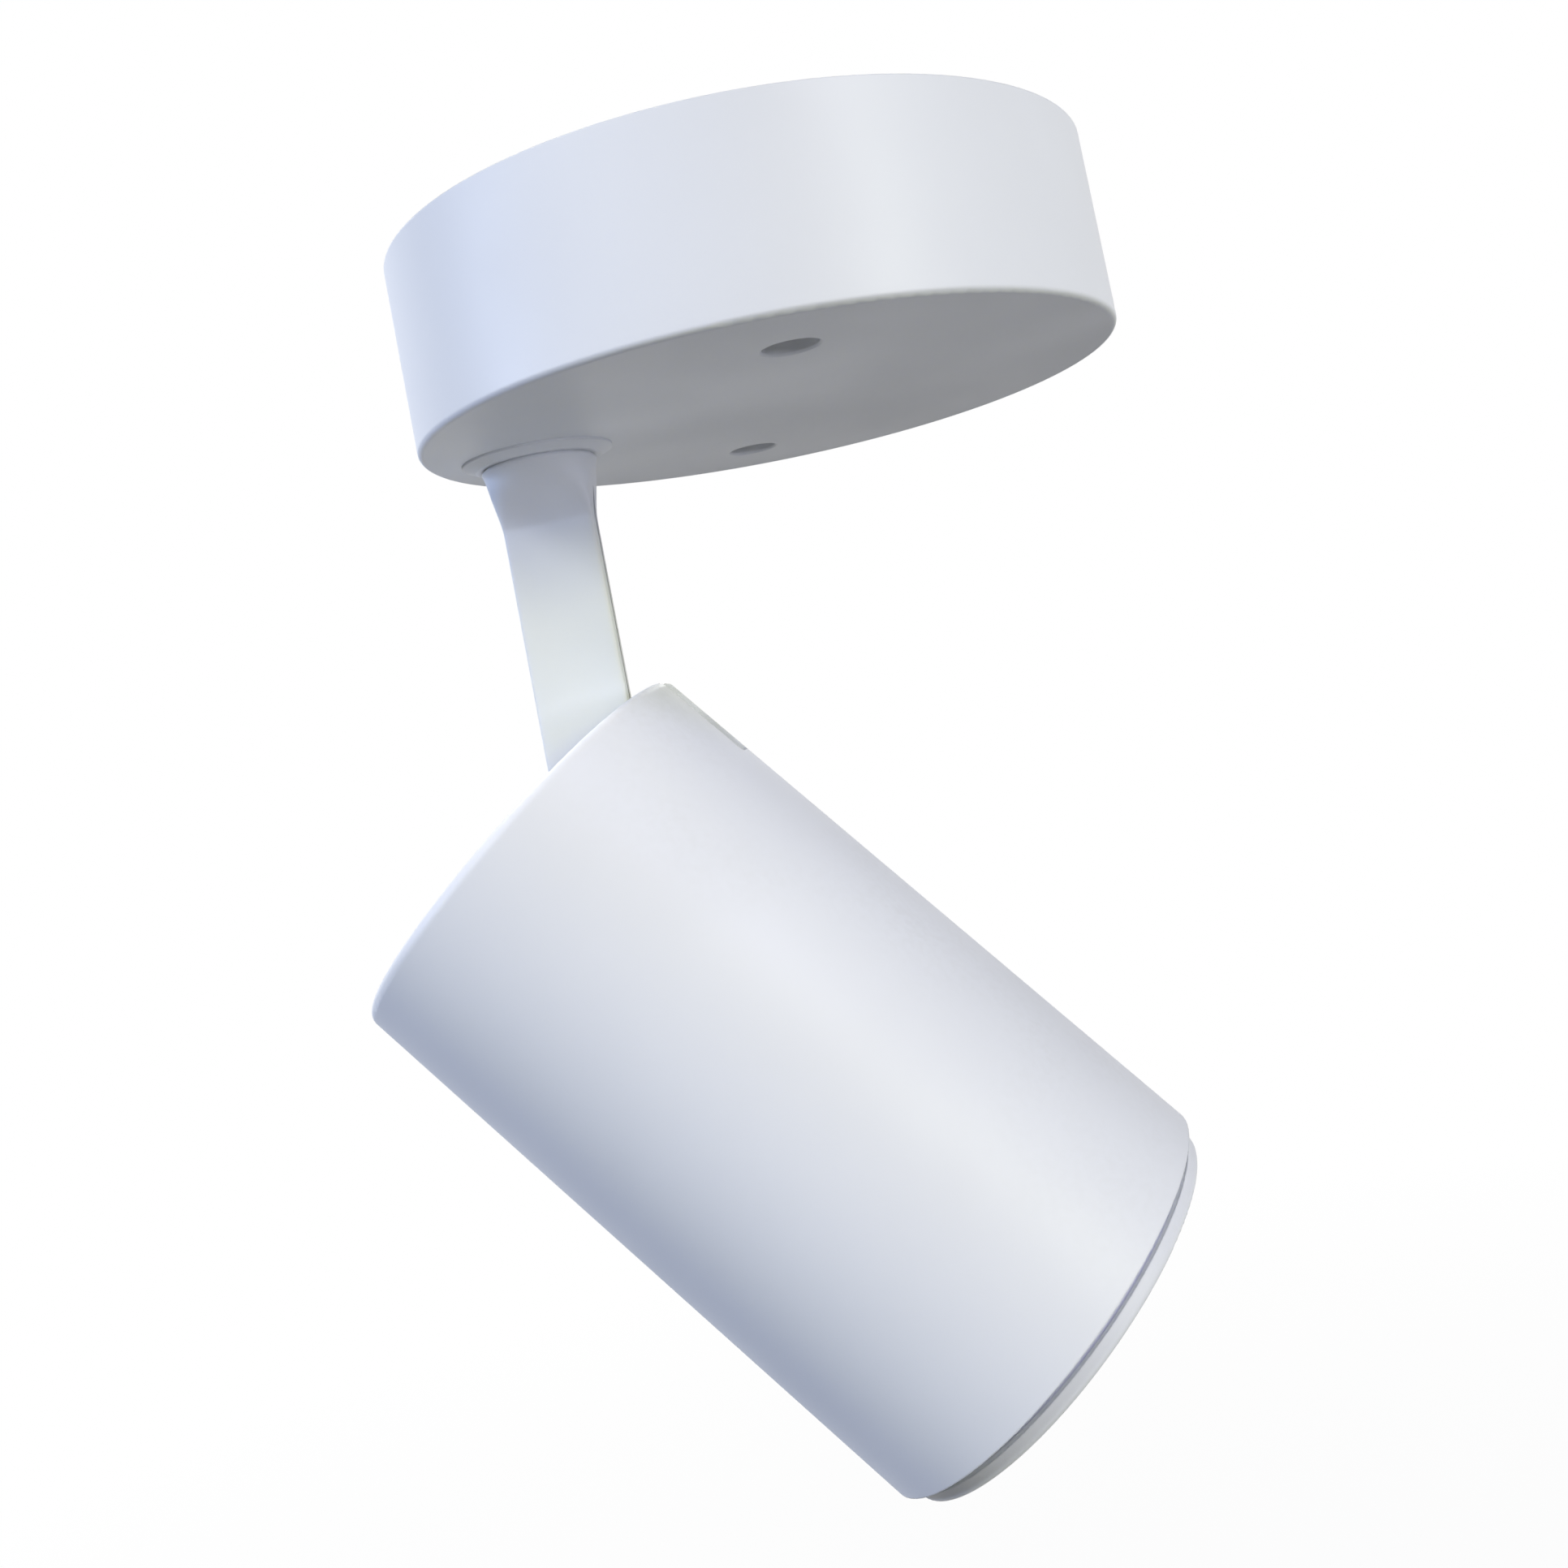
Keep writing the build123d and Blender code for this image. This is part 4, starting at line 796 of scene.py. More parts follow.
    def build(self, frame: dict) -> bpy.types.Object:
        """Measures the CAD screws and sets a detailed one at each."""
        boxes = islands(frame["nodes"][self.node], self.place)
        low, high = boxes[0]
        head_r = (high.x - low.x) / 2
        one = bpy.data.objects.new(self.name + "_one", self.template(head_r, high.z - low.z - self.head_h))
        bpy.context.scene.collection.objects.link(one)
        seats = [((low.x + high.x) / 2, (low.y + high.y) / 2, high.z - self.head_h) for low, high in boxes]
        points = bpy.data.meshes.new(self.name)
        points.from_pydata(seats, [], [])
        piece = self.tree().bake(self.name, points, self.place, Screw=one, Turn=math.tau, Seed=self.seed)
        bpy.data.objects.remove(one)
        soften(piece.data)
        seat(piece, self.body, self.slot, self.node)
        return piece


def sixths() -> list[float]:
    """The six corners' turns of a hexagon."""
    return [math.pi / 3 * step for step in range(6)]


# ---------------------------------------------------------------- arm
@dataclass(frozen=True)
class SwivelArm:
    """Cast arm: a round top that flows into a flat strap with a round foot, on a hollow threaded stem.

    Every level section of the cast part is a superellipse, from a circle under the collar to a rectangle
    with rounded corners in the strap.
    """

    neck_h: float = 0.6 * MM           # straight round part at the top
    seam: float = 0.4 * MM             # chamfer that makes the line under the collar
    flow_h: float = 8.4 * MM           # height over which the section turns from round to flat
    flare_h: float = 10.0 * MM         # height over which the sides draw in
    strap_w: float = 13.4 * MM
    strap_t: float = 3.6 * MM
    round_power: float = 2.0
    flat_power: float = 14.0
    slant_power: float = 1.3           # 1 for a straight slant, more for a softer end in the strap
    rows: int = 150
    steps: int = 96
    groove_w: float = 4.4 * MM
    groove_depth: float = 2.4 * MM
    cover_t: float = 0.7 * MM
    groove_end: float = 5.5 * MM       # from the pivot to the groove's lower end
    bore_d: float = 5.0 * MM
    pivot_bore_d: float = 4.2 * MM
    stem_d: float = 10.0 * MM
    stem_flat: float = 4.2 * MM
    thread_pitch: float = 1.0 * MM
    thread_l: float = 7.0 * MM

    def tree(self) -> GeometryTree:
        """The tree that bends a grid into the cast part by the superellipse's rule."""
        tree = GeometryTree(
            "superellipse_arm",
            {
                "Steps": "NodeSocketInt",
                "Rows": "NodeSocketInt",
                "Top Radius": "NodeSocketFloat",
                "Half Width": "NodeSocketFloat",
                "Half Thickness": "NodeSocketFloat",
                "Neck": "NodeSocketFloat",
                "Seam": "NodeSocketFloat",
                "Flow": "NodeSocketFloat",
                "Flare": "NodeSocketFloat",
                "Length": "NodeSocketFloat",
                "Round Power": "NodeSocketFloat",
                "Flat Power": "NodeSocketFloat",
                "Slant Power": "NodeSocketFloat",
            },
        )
        end = tree.inputs
        grid = tree.add(
            "GeometryNodeMeshGrid",
            Size_X=1.0,
            Size_Y=1.0,
            Vertices_X=tree.math("ADD", end["Steps"], 1.0),
            Vertices_Y=tree.math("ADD", end["Rows"], 1.0),
        )
        flat = tree.add("ShaderNodeSeparateXYZ", Vector=tree.add("GeometryNodeInputPosition").outputs[0]).outputs
        turn = tree.math("MULTIPLY", tree.math("ADD", flat[0], 0.5), math.tau)
        share = tree.math("ADD", flat[1], 0.5)
        depth = tree.math("MULTIPLY", tree.math("POWER", share, 1.6), end["Length"])
        under = tree.math("MAXIMUM", tree.math("SUBTRACT", depth, end["Neck"]), 0.0)

        # Half width: a flare that fades out as a parabola, then the round foot
        fade = tree.math("SUBTRACT", 1.0, tree.math("DIVIDE", under, end["Flare"]), clamp=True)
        wider = tree.math("SUBTRACT", end["Top Radius"], end["Half Width"])
        width = tree.math("MULTIPLY_ADD", wider, tree.math("POWER", fade, 2.0), end["Half Width"])
        to_foot = tree.math("SUBTRACT", end["Half Width"], tree.math("SUBTRACT", end["Length"], depth))
        past = tree.math("MAXIMUM", to_foot, 0.0)
        rest = tree.math("SUBTRACT", tree.math("POWER", width, 2.0), tree.math("POWER", past, 2.0))
        width = tree.math("SQRT", tree.math("MAXIMUM", rest, 1e-9))

        # Half thickness: an even slant that runs out softly into the strap
        flow = tree.math("DIVIDE", under, end["Flow"], clamp=True)
        thicker = tree.math("SUBTRACT", end["Top Radius"], end["Half Thickness"])
        slant = tree.math("POWER", tree.math("SUBTRACT", 1.0, flow), end["Slant Power"])
        thickness = tree.math("MULTIPLY_ADD", thicker, slant, end["Half Thickness"])

        power = tree.math(
            "MULTIPLY_ADD",
            tree.math("SUBTRACT", end["Flat Power"], end["Round Power"]),
            tree.math("POWER", flow, 2.0),
            end["Round Power"],
        )
        lean = tree.math("DIVIDE", 2.0, power)
        inset = tree.math("MAXIMUM", tree.math("SUBTRACT", end["Seam"], depth), 0.0)
        place = tree.add(
            "ShaderNodeCombineXYZ",
            X=self.spread(tree, "COSINE", turn, lean, tree.math("SUBTRACT", width, inset)),
            Y=self.spread(tree, "SINE", turn, lean, tree.math("SUBTRACT", thickness, inset)),
            Z=tree.math("MULTIPLY", depth, -1.0),
        )
        bent = tree.add("GeometryNodeSetPosition", Geometry=grid.outputs[0], Position=place.outputs[0])
        welded = tree.add("GeometryNodeMergeByDistance", Geometry=bent.outputs[0], Distance=0.003 * MM)
        tree.end(welded.outputs[0], FINISHES["white_paint"].material())
        return tree

    def spread(
        self, tree: GeometryTree, wave: str, turn: Input, lean: Input, size: Input
    ) -> bpy.types.NodeSocket:
        """One coordinate of a superellipse: size x sign(wave) x |wave| ^ lean."""
        value = tree.math(wave, turn)
        grown = tree.math("POWER", tree.math("ABSOLUTE", value), lean)
        return tree.math("MULTIPLY", tree.math("MULTIPLY", tree.math("SIGN", value), grown), size)

    def cutter(self, shape: bmesh.types.BMesh, place: Matrix) -> bpy.types.Object:
        """Makes a passing object of a shape, to be cut from the arm."""
        mesh = as_mesh(shape, "cutter", smooth=False)
        mesh.transform(place)
        tool = bpy.data.objects.new("cutter", mesh)
        bpy.context.scene.collection.objects.link(tool)
        return tool

    def rod(self, diameter: float, length: float) -> bmesh.types.BMesh:
        """A closed rod along Z, centred on the origin."""
        radius, half = diameter / 2, length / 2
        return turned([(0.0, -half), (radius, -half), (radius, half), (0.0, half)], 48)

    def cut(self, piece: bpy.types.Object, pivot: Vector, top: float) -> None:
        """Cuts the bore, the lead groove and the pivot's hole, and keeps the result as a plain mesh."""
        low, high = pivot.z + self.groove_end, top - self.neck_h - self.bore_d / 2
        side, floor = Vector((self.groove_w / 2, 0, 0)), self.strap_t / 2 - self.groove_depth
        centre, cover_top = Vector((pivot.x, 0, 0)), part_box("arm_wire_cover")[1].z
        open_top, open_low = Vector((0, self.strap_t, cover_top)), Vector((0, floor, low))
        shut_top = Vector((0, self.strap_t / 2 - self.cover_t, high))
        shut_low = Vector((0, floor, cover_top - self.groove_depth))
        bore_l = self.neck_h + self.bore_d / 2
        tools = [
            self.cutter(block(centre - side + open_low, centre + side + open_top, 0.05 * MM, 1), UP),
            self.cutter(block(centre - side + shut_low, centre + side + shut_top, 0.05 * MM, 1), UP),
            self.cutter(self.rod(self.bore_d, 2 * bore_l), Matrix.Translation((pivot.x, 0, top))),
            self.cutter(
                self.rod(self.pivot_bore_d, 4 * self.strap_t),
                Matrix.Translation(pivot) @ Matrix.Rotation(math.pi / 2, 4, "X"),
            ),
        ]
        for tool in tools:
            step = piece.modifiers.new("cut", "BOOLEAN")
            step.operation = "DIFFERENCE"
            step.solver = "EXACT"
            step.object = tool
        evaluated = piece.evaluated_get(bpy.context.evaluated_depsgraph_get())
        mesh = bpy.data.meshes.new_from_object(evaluated)
        piece.modifiers.clear()
        piece.data = mesh
        for tool in tools:
            bpy.data.objects.remove(tool)

    def stem(self, centre: Vector, low: float, high: float) -> bpy.types.Mesh:
        """Builds the hollow stem, threaded at its top and flattened on one side."""
        outer, inner = self.stem_d / 2, self.bore_d / 2
        rows = round(self.thread_l / self.thread_pitch * 8)
        profile = [(inner, low), (outer, low), (outer, high - self.thread_l)]
        profile += [(outer, high - self.thread_l + self.thread_l * row / rows) for row in range(1, rows)]
        profile += [(outer - 0.5 * MM, high), (inner, high)]
        shape = turned(profile, 64, closed=True)
        for vertex in shape.verts:
            radius = vertex.co.xy.length
            if radius > inner * 1.1 and high - self.thread_l < vertex.co.z < high - 0.1 * MM:
                turn = math.atan2(vertex.co.y, vertex.co.x) / math.tau
                wave = abs(2 * ((vertex.co.z / self.thread_pitch - turn) % 1.0) - 1)
                keep = 1 - 0.5 * self.thread_pitch * wave / radius
                vertex.co.x *= keep
                vertex.co.y *= keep
            if vertex.co.z > low + 0.1 * MM and radius > inner * 1.1:
                vertex.co.x = max(vertex.co.x, -self.stem_flat)
            vertex.co.x += centre.x
        return as_mesh(shape, "arm_stem")

    def build(self, frame: dict) -> bpy.types.Object:
        """Measures the CAD arm and casts the flowing one in its place."""
        low, high = islands(frame["nodes"]["swivel_arm"], Matrix.Identity(4))[0]
        swivel = next(joint for joint in frame["record"]["behaviour"]["joints"] if joint["name"] == "arm_swivel")
        tilt = next(joint for joint in frame["record"]["behaviour"]["joints"] if joint["name"] == "head_tilt")
        top = swivel["pos_m"][2]
        pivot = Vector(tilt["pos_m"])
        piece = self.tree().bake(
            "swivel_arm_cast",
            bpy.data.meshes.new("arm"),
            Matrix.Translation((pivot.x, 0, top)),
            Steps=self.steps,
            Rows=self.rows,
            Top_Radius=(high.x - low.x) / 2,
            Half_Width=self.strap_w / 2,
            Half_Thickness=self.strap_t / 2,
            Neck=self.neck_h,
            Seam=self.seam,
            Flow=self.flow_h,
            Flare=self.flare_h,
            Length=top - low.z,
            Round_Power=self.round_power,
            Flat_Power=self.flat_power,
            Slant_Power=self.slant_power,
        )
        shape = bmesh.new()
        shape.from_mesh(piece.data)
        bmesh.ops.holes_fill(shape, edges=[edge for edge in shape.edges if edge.is_boundary], sides=0)
        bmesh.ops.recalc_face_normals(shape, faces=shape.faces)
        shape.to_mesh(piece.data)
        shape.free()
        self.cut(piece, pivot, top)
        shape = bmesh.new()
        shape.from_mesh(piece.data)
        shape.from_mesh(self.stem(pivot, top, high.z))
        for face in shape.faces:
            face.smooth = True
        shape.to_mesh(piece.data)
        shape.free()
        soften(piece.data, math.radians(40))
        seat(piece, "arm", "white_paint", "swivel_arm")
        return piece


# ---------------------------------------------------------------- optics
@dataclass(frozen=True)
class Reflector:
    """Spun aluminium bell whose inside is pressed into flat facets, in rings that widen towards the mouth."""

    facets: int = 48
    rows: int = 11
    wall: float = 1.0 * MM
    rim_t: float = 1.2 * MM
    neck_r: float = 8.0 * MM
    rim_w: float = 3.1 * MM
    neck_l: float = 3.4 * MM

    def shell(self, rim_r: float, back: float, front: float) -> bpy.types.Mesh:
        """Builds the neck, the rim and the bell's outer wall, open where the facets go.

        Args:
            rim_r: The rim's outer radius.
            back: Depth of the neck's rear end.
            front: Depth of the rim's front.

        Returns:
            The open shell.
        """
        mouth_r, bell_back, rim_back = rim_r - self.rim_w, back + self.neck_l, front - self.rim_t
        profile = [(self.neck_r, bell_back), (self.neck_r, back), (self.neck_r + self.wall, back)]
        for row in range(self.rows + 1):
            share = row / self.rows
            radius = math.sqrt(self.neck_r**2 + (mouth_r**2 - self.neck_r**2) * share)
            profile.append((radius + self.wall, bell_back + (rim_back - bell_back) * share))
        profile += [(rim_r, rim_back), (rim_r, front), (mouth_r, front), (mouth_r, rim_back)]
        return as_mesh(turned(profile, self.facets), "reflector_shell", smooth=False)

    def tree(self) -> GeometryTree:
        """The tree that lays the facets on the bell: a grid bent round the axis by the parabola's rule."""
        tree = GeometryTree(
            "faceted_bell",
            {
                "Facets": "NodeSocketInt",
                "Rows": "NodeSocketInt",
                "Neck Radius": "NodeSocketFloat",
                "Mouth Radius": "NodeSocketFloat",
                "Back": "NodeSocketFloat",
                "Length": "NodeSocketFloat",
            },
        )
        grid = tree.add(
            "GeometryNodeMeshGrid",
            Size_X=1.0,
            Size_Y=1.0,
            Vertices_X=tree.math("ADD", tree.inputs["Facets"], 1.0),
            Vertices_Y=tree.math("ADD", tree.inputs["Rows"], 1.0),
        )
        flat = tree.add("ShaderNodeSeparateXYZ", Vector=tree.add("GeometryNodeInputPosition").outputs[0]).outputs
        turn = tree.math("MULTIPLY", tree.math("ADD", flat[0], 0.5), math.tau)
        share = tree.math("ADD", flat[1], 0.5)
        neck = tree.math("POWER", tree.inputs["Neck Radius"], 2.0)
        gain = tree.math("SUBTRACT", tree.math("POWER", tree.inputs["Mouth Radius"], 2.0), neck)
        radius = tree.math("SQRT", tree.math("MULTIPLY_ADD", gain, share, neck))
        place = tree.add(
            "ShaderNodeCombineXYZ",
            X=tree.math("MULTIPLY", radius, tree.math("COSINE", turn)),
            Y=tree.math("MULTIPLY", radius, tree.math("SINE", turn)),
            Z=tree.math("MULTIPLY_ADD", share, tree.inputs["Length"], tree.inputs["Back"]),
        )
        bent = tree.add("GeometryNodeSetPosition", Geometry=grid.outputs[0], Position=place.outputs[0])
        flipped = tree.add("GeometryNodeFlipFaces", Mesh=bent.outputs[0])
        both = tree.add("GeometryNodeJoinGeometry")
        tree.tree.links.new(flipped.outputs[0], both.inputs[0])
        tree.tree.links.new(tree.inputs["Geometry"], both.inputs[0])
        welded = tree.add("GeometryNodeMergeByDistance", Geometry=both.outputs[0], Distance=0.002 * MM)
        tree.end(welded.outputs[0], FINISHES["polished_aluminium"].material())
        return tree

    def build(self, frame: dict) -> bpy.types.Object:
        """Measures the CAD reflector and lays the faceted one in its place."""
        low, high = islands(frame["nodes"]["reflector"], HEAD)[0]
        rim_r, back, front = (high.x - low.x) / 2, low.z, high.z
        piece = self.tree().bake(
            "faceted_reflector",
            self.shell(rim_r, back, front),
            HEAD,
            Facets=self.facets,
            Rows=self.rows,
            Neck_Radius=self.neck_r,
            Mouth_Radius=rim_r - self.rim_w,
            Back=back + self.neck_l,
            Length=front - self.rim_t - back - self.neck_l,
        )
        seat(piece, "head", "polished_aluminium", "reflector")
        return piece


@dataclass(frozen=True)
class LightSource:
    """Chip-on-board emitter: a cast silicone dam round a domed pool of phosphor."""

    dam_w: float = 1.3 * MM
    pool_rise: float = 0.25 * MM
    segments: int = 72

    def build(self, frame: dict) -> None:
        """Measures the CAD emitter and pours the dam and the phosphor in its place."""
        low, high = islands(frame["nodes"]["led_emitter"], HEAD)[0]
        radius, back, front = (high.x - low.x) / 2, low.z, high.z
        top = front - 0.4 * MM
        inner = radius - self.dam_w
        half = self.dam_w / 2
        dam = [(inner - 0.05 * MM, back), (radius, back), (radius, top)]
        for step in range(1, 8):
            turn = math.pi * step / 8
            dam.append((radius - half + half * math.cos(turn), top + 0.4 * MM * math.sin(turn)))
        dam.append((inner - 0.05 * MM, top - 0.2 * MM))
        ring = as_mesh(turned(dam, self.segments, closed=True), "emitter_dam")
        pool = [(0.0, back), (inner, back), (inner, top - 0.1 * MM)]
        for step in range(1, 6):
            turn = math.pi / 2 * step / 6
            pool.append((inner * math.cos(turn), top - 0.1 * MM + self.pool_rise * math.sin(turn)))
        pool.append((0.0, top - 0.1 * MM + self.pool_rise))
        middle = as_mesh(turned(pool, self.segments), "emitter_phosphor")
        for mesh, slot, nodes in ((ring, "silicone", ("led_emitter",)), (middle, "phosphor", ())):
            mesh.transform(HEAD)
            place_piece(mesh, slot, "head", *nodes)


# ---------------------------------------------------------------- driver
def block(low: Vector, high: Vector, edge: float, segments: int = 2) -> bmesh.types.BMesh:
    """A block with rounded edges.

    Args:
        low: Its lowest corner.
        high: Its highest corner.
        edge: How far the rounding reaches from each edge.
        segments: Faces across the rounding.

    Returns:
        The block's shape.
    """
    shape = bmesh.new()
    bmesh.ops.create_cube(shape, size=1.0)
    size = high - low
    shape.transform(Matrix.Translation((low + high) / 2) @ Matrix.Diagonal((size.x, size.y, size.z, 1)))
    edges = list(shape.edges)
    bmesh.ops.bevel(shape, geom=edges, offset=edge, segments=segments, profile=0.5, affect="EDGES")
    return shape


def joined(parts: Sequence[bmesh.types.BMesh]) -> bmesh.types.BMesh:
    """Gathers shapes into one, each keeping its own surface.

    Args:
        parts: The shapes, which are used up.

    Returns:
        The gathered shape.
    """
    whole = bmesh.new()
    for part in parts:
        passing = as_mesh(part, "passing")
        whole.from_mesh(passing)
        bpy.data.meshes.remove(passing)
    return whole


def place_piece(mesh: bpy.types.Mesh, finish: str, body: str, *nodes: str) -> bpy.types.Object:
    """Makes a dressed piece of a mesh and seats it on its body.

    Args:
        mesh: The piece's mesh, which gives it its name.
        finish: Key of its finish.
        body: The body that it rides on.
        nodes: The CAD nodes that it stands for.

    Returns:
        The piece.
    """
    soften(mesh)
    mesh.materials.append(FINISHES[finish].material())
    piece = bpy.data.objects.new(mesh.name, mesh)
    bpy.context.scene.collection.objects.link(piece)
    seat(piece, body, SLOT_OF.get(finish, finish), *nodes)
    return piece


@dataclass(frozen=True)
class Transformer:
    """Bobbin transformer: two ferrite plates and a leg, round which the wire is wound turn beside turn."""

    plate_t: float = 2.9 * MM
    plate_edge: float = 0.5 * MM
    wire_d: float = 0.5 * MM
    leg_r: float = 3.2 * MM
    leg_sunk: float = 1.0 * MM         # how far the leg stands in from the plates' outer faces
    leg_segments: int = 40
    steps_a_turn: int = 30
    wire_sides: int = 7

    def tree(self) -> GeometryTree:
        """The tree that winds a wire along a helix."""
        tree = GeometryTree(
            "wound_coil",
            {
                "Turns": "NodeSocketFloat",
                "Steps": "NodeSocketInt",
                "Radius": "NodeSocketFloat",
                "Height": "NodeSocketFloat",
                "Wire": "NodeSocketFloat",
                "Sides": "NodeSocketInt",
            },
        )
        end = tree.inputs
        helix = tree.add(
            "GeometryNodeCurveSpiral",
            Resolution=end["Steps"],
            Rotations=end["Turns"],
            Start_Radius=end["Radius"],
            End_Radius=end["Radius"],
            Height=end["Height"],
        )
        wire = tree.add("GeometryNodeCurvePrimitiveCircle", Resolution=end["Sides"], Radius=end["Wire"])
        coil = tree.add(
            "GeometryNodeCurveToMesh", Curve=helix.outputs[0], Profile_Curve=wire.outputs[0], Fill_Caps=True
        )
        tree.end(coil.outputs[0], FINISHES["winding"].material())
        return tree

    def build(self, frame: dict) -> None:
        """Measures the CAD transformer and makes its core and coil."""
        boxes = islands(frame["nodes"]["driver_transformer"], UP)
        low = Vector([min(box[0][axis] for box in boxes) for axis in range(3)])
        high = Vector([max(box[1][axis] for box in boxes) for axis in range(3)])
        middle = (low + high) / 2
        up = Vector((0, 0, self.plate_t))
        foot, head = low.z + self.leg_sunk, high.z - self.leg_sunk
        leg = turned([(0.0, foot), (self.leg_r, foot), (self.leg_r, head), (0.0, head)], self.leg_segments)
        leg.transform(Matrix.Translation((middle.x, middle.y, 0)))
        core = joined(
            (
                block(low, Vector((high.x, high.y, low.z)) + up, self.plate_edge),
                block(Vector((low.x, low.y, high.z)) - up, high, self.plate_edge),
                leg,
            )
        )
        for face in core.faces:
            face.smooth = True
        place_piece(as_mesh(core, "transformer_core"), "ferrite", "base", "driver_transformer")
        height = high.z - low.z - 2 * self.plate_t - self.wire_d
        coil = self.tree().bake(
            "transformer_coil",
            bpy.data.meshes.new("coil"),
            Matrix.Translation((middle.x, middle.y, low.z + self.plate_t + self.wire_d / 2)),
            Turns=height / self.wire_d,
            Steps=self.steps_a_turn,
            Radius=self.leg_r + self.wire_d / 2,
            Height=height,
            Wire=self.wire_d / 2,
            Sides=self.wire_sides,
        )
        soften(coil.data)
        seat(coil, "base", "winding")


@dataclass(frozen=True)
class Capacitors:
    """Electrolytic cans in shrunk sleeves, each with a rolled groove and a scored lid."""

    groove_at: float = 1.3 * MM
    groove_depth: float = 0.3 * MM
    shoulder: float = 0.6 * MM
    lip: float = 0.9 * MM
    lid_drop: float = 0.12 * MM
    segments: int = 56

    def can(self, radius: float, height: float) -> bmesh.types.BMesh:
        """One can on the plane z = 0.

        Args:
            radius: The can's radius.
            height: Its height.

        Returns:
            The can's shape.
        """
        groove, half = self.groove_at, self.groove_depth
        profile = [(0.0, 0.0), (radius - half / 2, 0.0), (radius, half / 2), (radius, groove - half)]
        profile += [
            (radius - self.groove_depth * math.sin(math.pi * step / 6), groove - half + 2 * half * step / 6)
            for step in range(1, 7)
        ]
        profile += [
            (
                radius - self.shoulder + self.shoulder * math.cos(math.pi / 2 * step / 5),
                height - self.shoulder + self.shoulder * math.sin(math.pi / 2 * step / 5),
            )
            for step in range(6)
        ]
        rim, lid = radius - self.lip, height - self.lid_drop
        profile += [(rim, height), (rim - self.lid_drop, lid), (0.0, lid)]
        return turned(profile, self.segments)

    def build(self, frame: dict) -> None:
        """Measures the CAD capacitors and sets a can at each."""
        cans = []
        for low, high in islands(frame["nodes"]["driver_capacitors"], UP):
            can = self.can((high.x - low.x) / 2, high.z - low.z)
            can.transform(Matrix.Translation(((low.x + high.x) / 2, (low.y + high.y) / 2, low.z)))
            cans.append(can)
        place_piece(as_mesh(joined(cans), "capacitor_cans"), "capacitor_sleeve", "base", "driver_capacitors")


@dataclass(frozen=True)
class BoardChips:
    """Small soldered parts, strewn over two strips of the driver's board, whatever else stands there."""

    margin: float = 1.6 * MM
    strip_start: float = 6.5 * MM      # from the board's -X edge
    strip_inner: float = 7.5 * MM      # from the board's middle line
    spacing: float = 2.4 * MM
    chip: tuple[float, float, float] = (1.6 * MM, 0.8 * MM, 0.5 * MM)
    chip_edge: float = 0.06 * MM
    density: float = 400000.0
    seed: int = 11

    def tree(self) -> GeometryTree:
        """The tree that strews a part over a surface, turned to one of two directions."""
        tree = GeometryTree(
            "strewn_chips",
            {
                "Chip": "NodeSocketObject",
                "Spacing": "NodeSocketFloat",
                "Density": "NodeSocketFloat",
                "Seed": "NodeSocketInt",
            },
        )
        end = tree.inputs
        chip = tree.add("GeometryNodeObjectInfo", Object=end["Chip"])
        points = tree.add(
            "GeometryNodeDistributePointsOnFaces",
            {"distribute_method": "POISSON"},
            Mesh=end["Geometry"],
            Distance_Min=end["Spacing"],
            Density_Max=end["Density"],
            Seed=end["Seed"],
        )
        chance = tree.add("FunctionNodeRandomValue", {"data_type": "INT"}, Seed=end["Seed"])
        chance.inputs[4].default_value = 0
        chance.inputs[5].default_value = 1
        turn = tree.add("ShaderNodeCombineXYZ", Z=tree.math("MULTIPLY", chance.outputs[2], math.pi / 2))
        placed = tree.add(
            "GeometryNodeInstanceOnPoints",
            Points=points.outputs["Points"],
            Instance=chip.outputs["Geometry"],
            Rotation=turn.outputs[0],
        )
        tree.end(placed.outputs[0], FINISHES["chip_body"].material())
        return tree

    def build(self, frame: dict) -> None:
        """Measures the board and strews chips over a strip along each of its long sides."""
        low, high = islands(frame["nodes"]["driver_board"], UP)[0]
        left, right = low.x + self.strip_start, high.x - self.margin
        strips = bpy.data.meshes.new("strips")
        corners = [
            (x, y, high.z)
            for inner, outer in (
                (low.y + self.margin, -self.strip_inner),
                (self.strip_inner, high.y - self.margin),
            )
            for x, y in ((left, inner), (right, inner), (right, outer), (left, outer))
        ]
        strips.from_pydata(corners, [], [(0, 1, 2, 3), (4, 5, 6, 7)])
        long, wide, tall = self.chip
        corner = Vector((long / 2, wide / 2, 0))
        shape = block(-corner, corner + Vector((0, 0, tall)), self.chip_edge, 1)
        one = bpy.data.objects.new("one_chip", as_mesh(shape, "one_chip", smooth=False))
        bpy.context.scene.collection.objects.link(one)
        piece = self.tree().bake(
            "board_chips", strips, UP, Chip=one, Spacing=self.spacing, Density=self.density, Seed=self.seed
        )
        bpy.data.objects.remove(one)
        seat(piece, "base", "capacitor_sleeve")


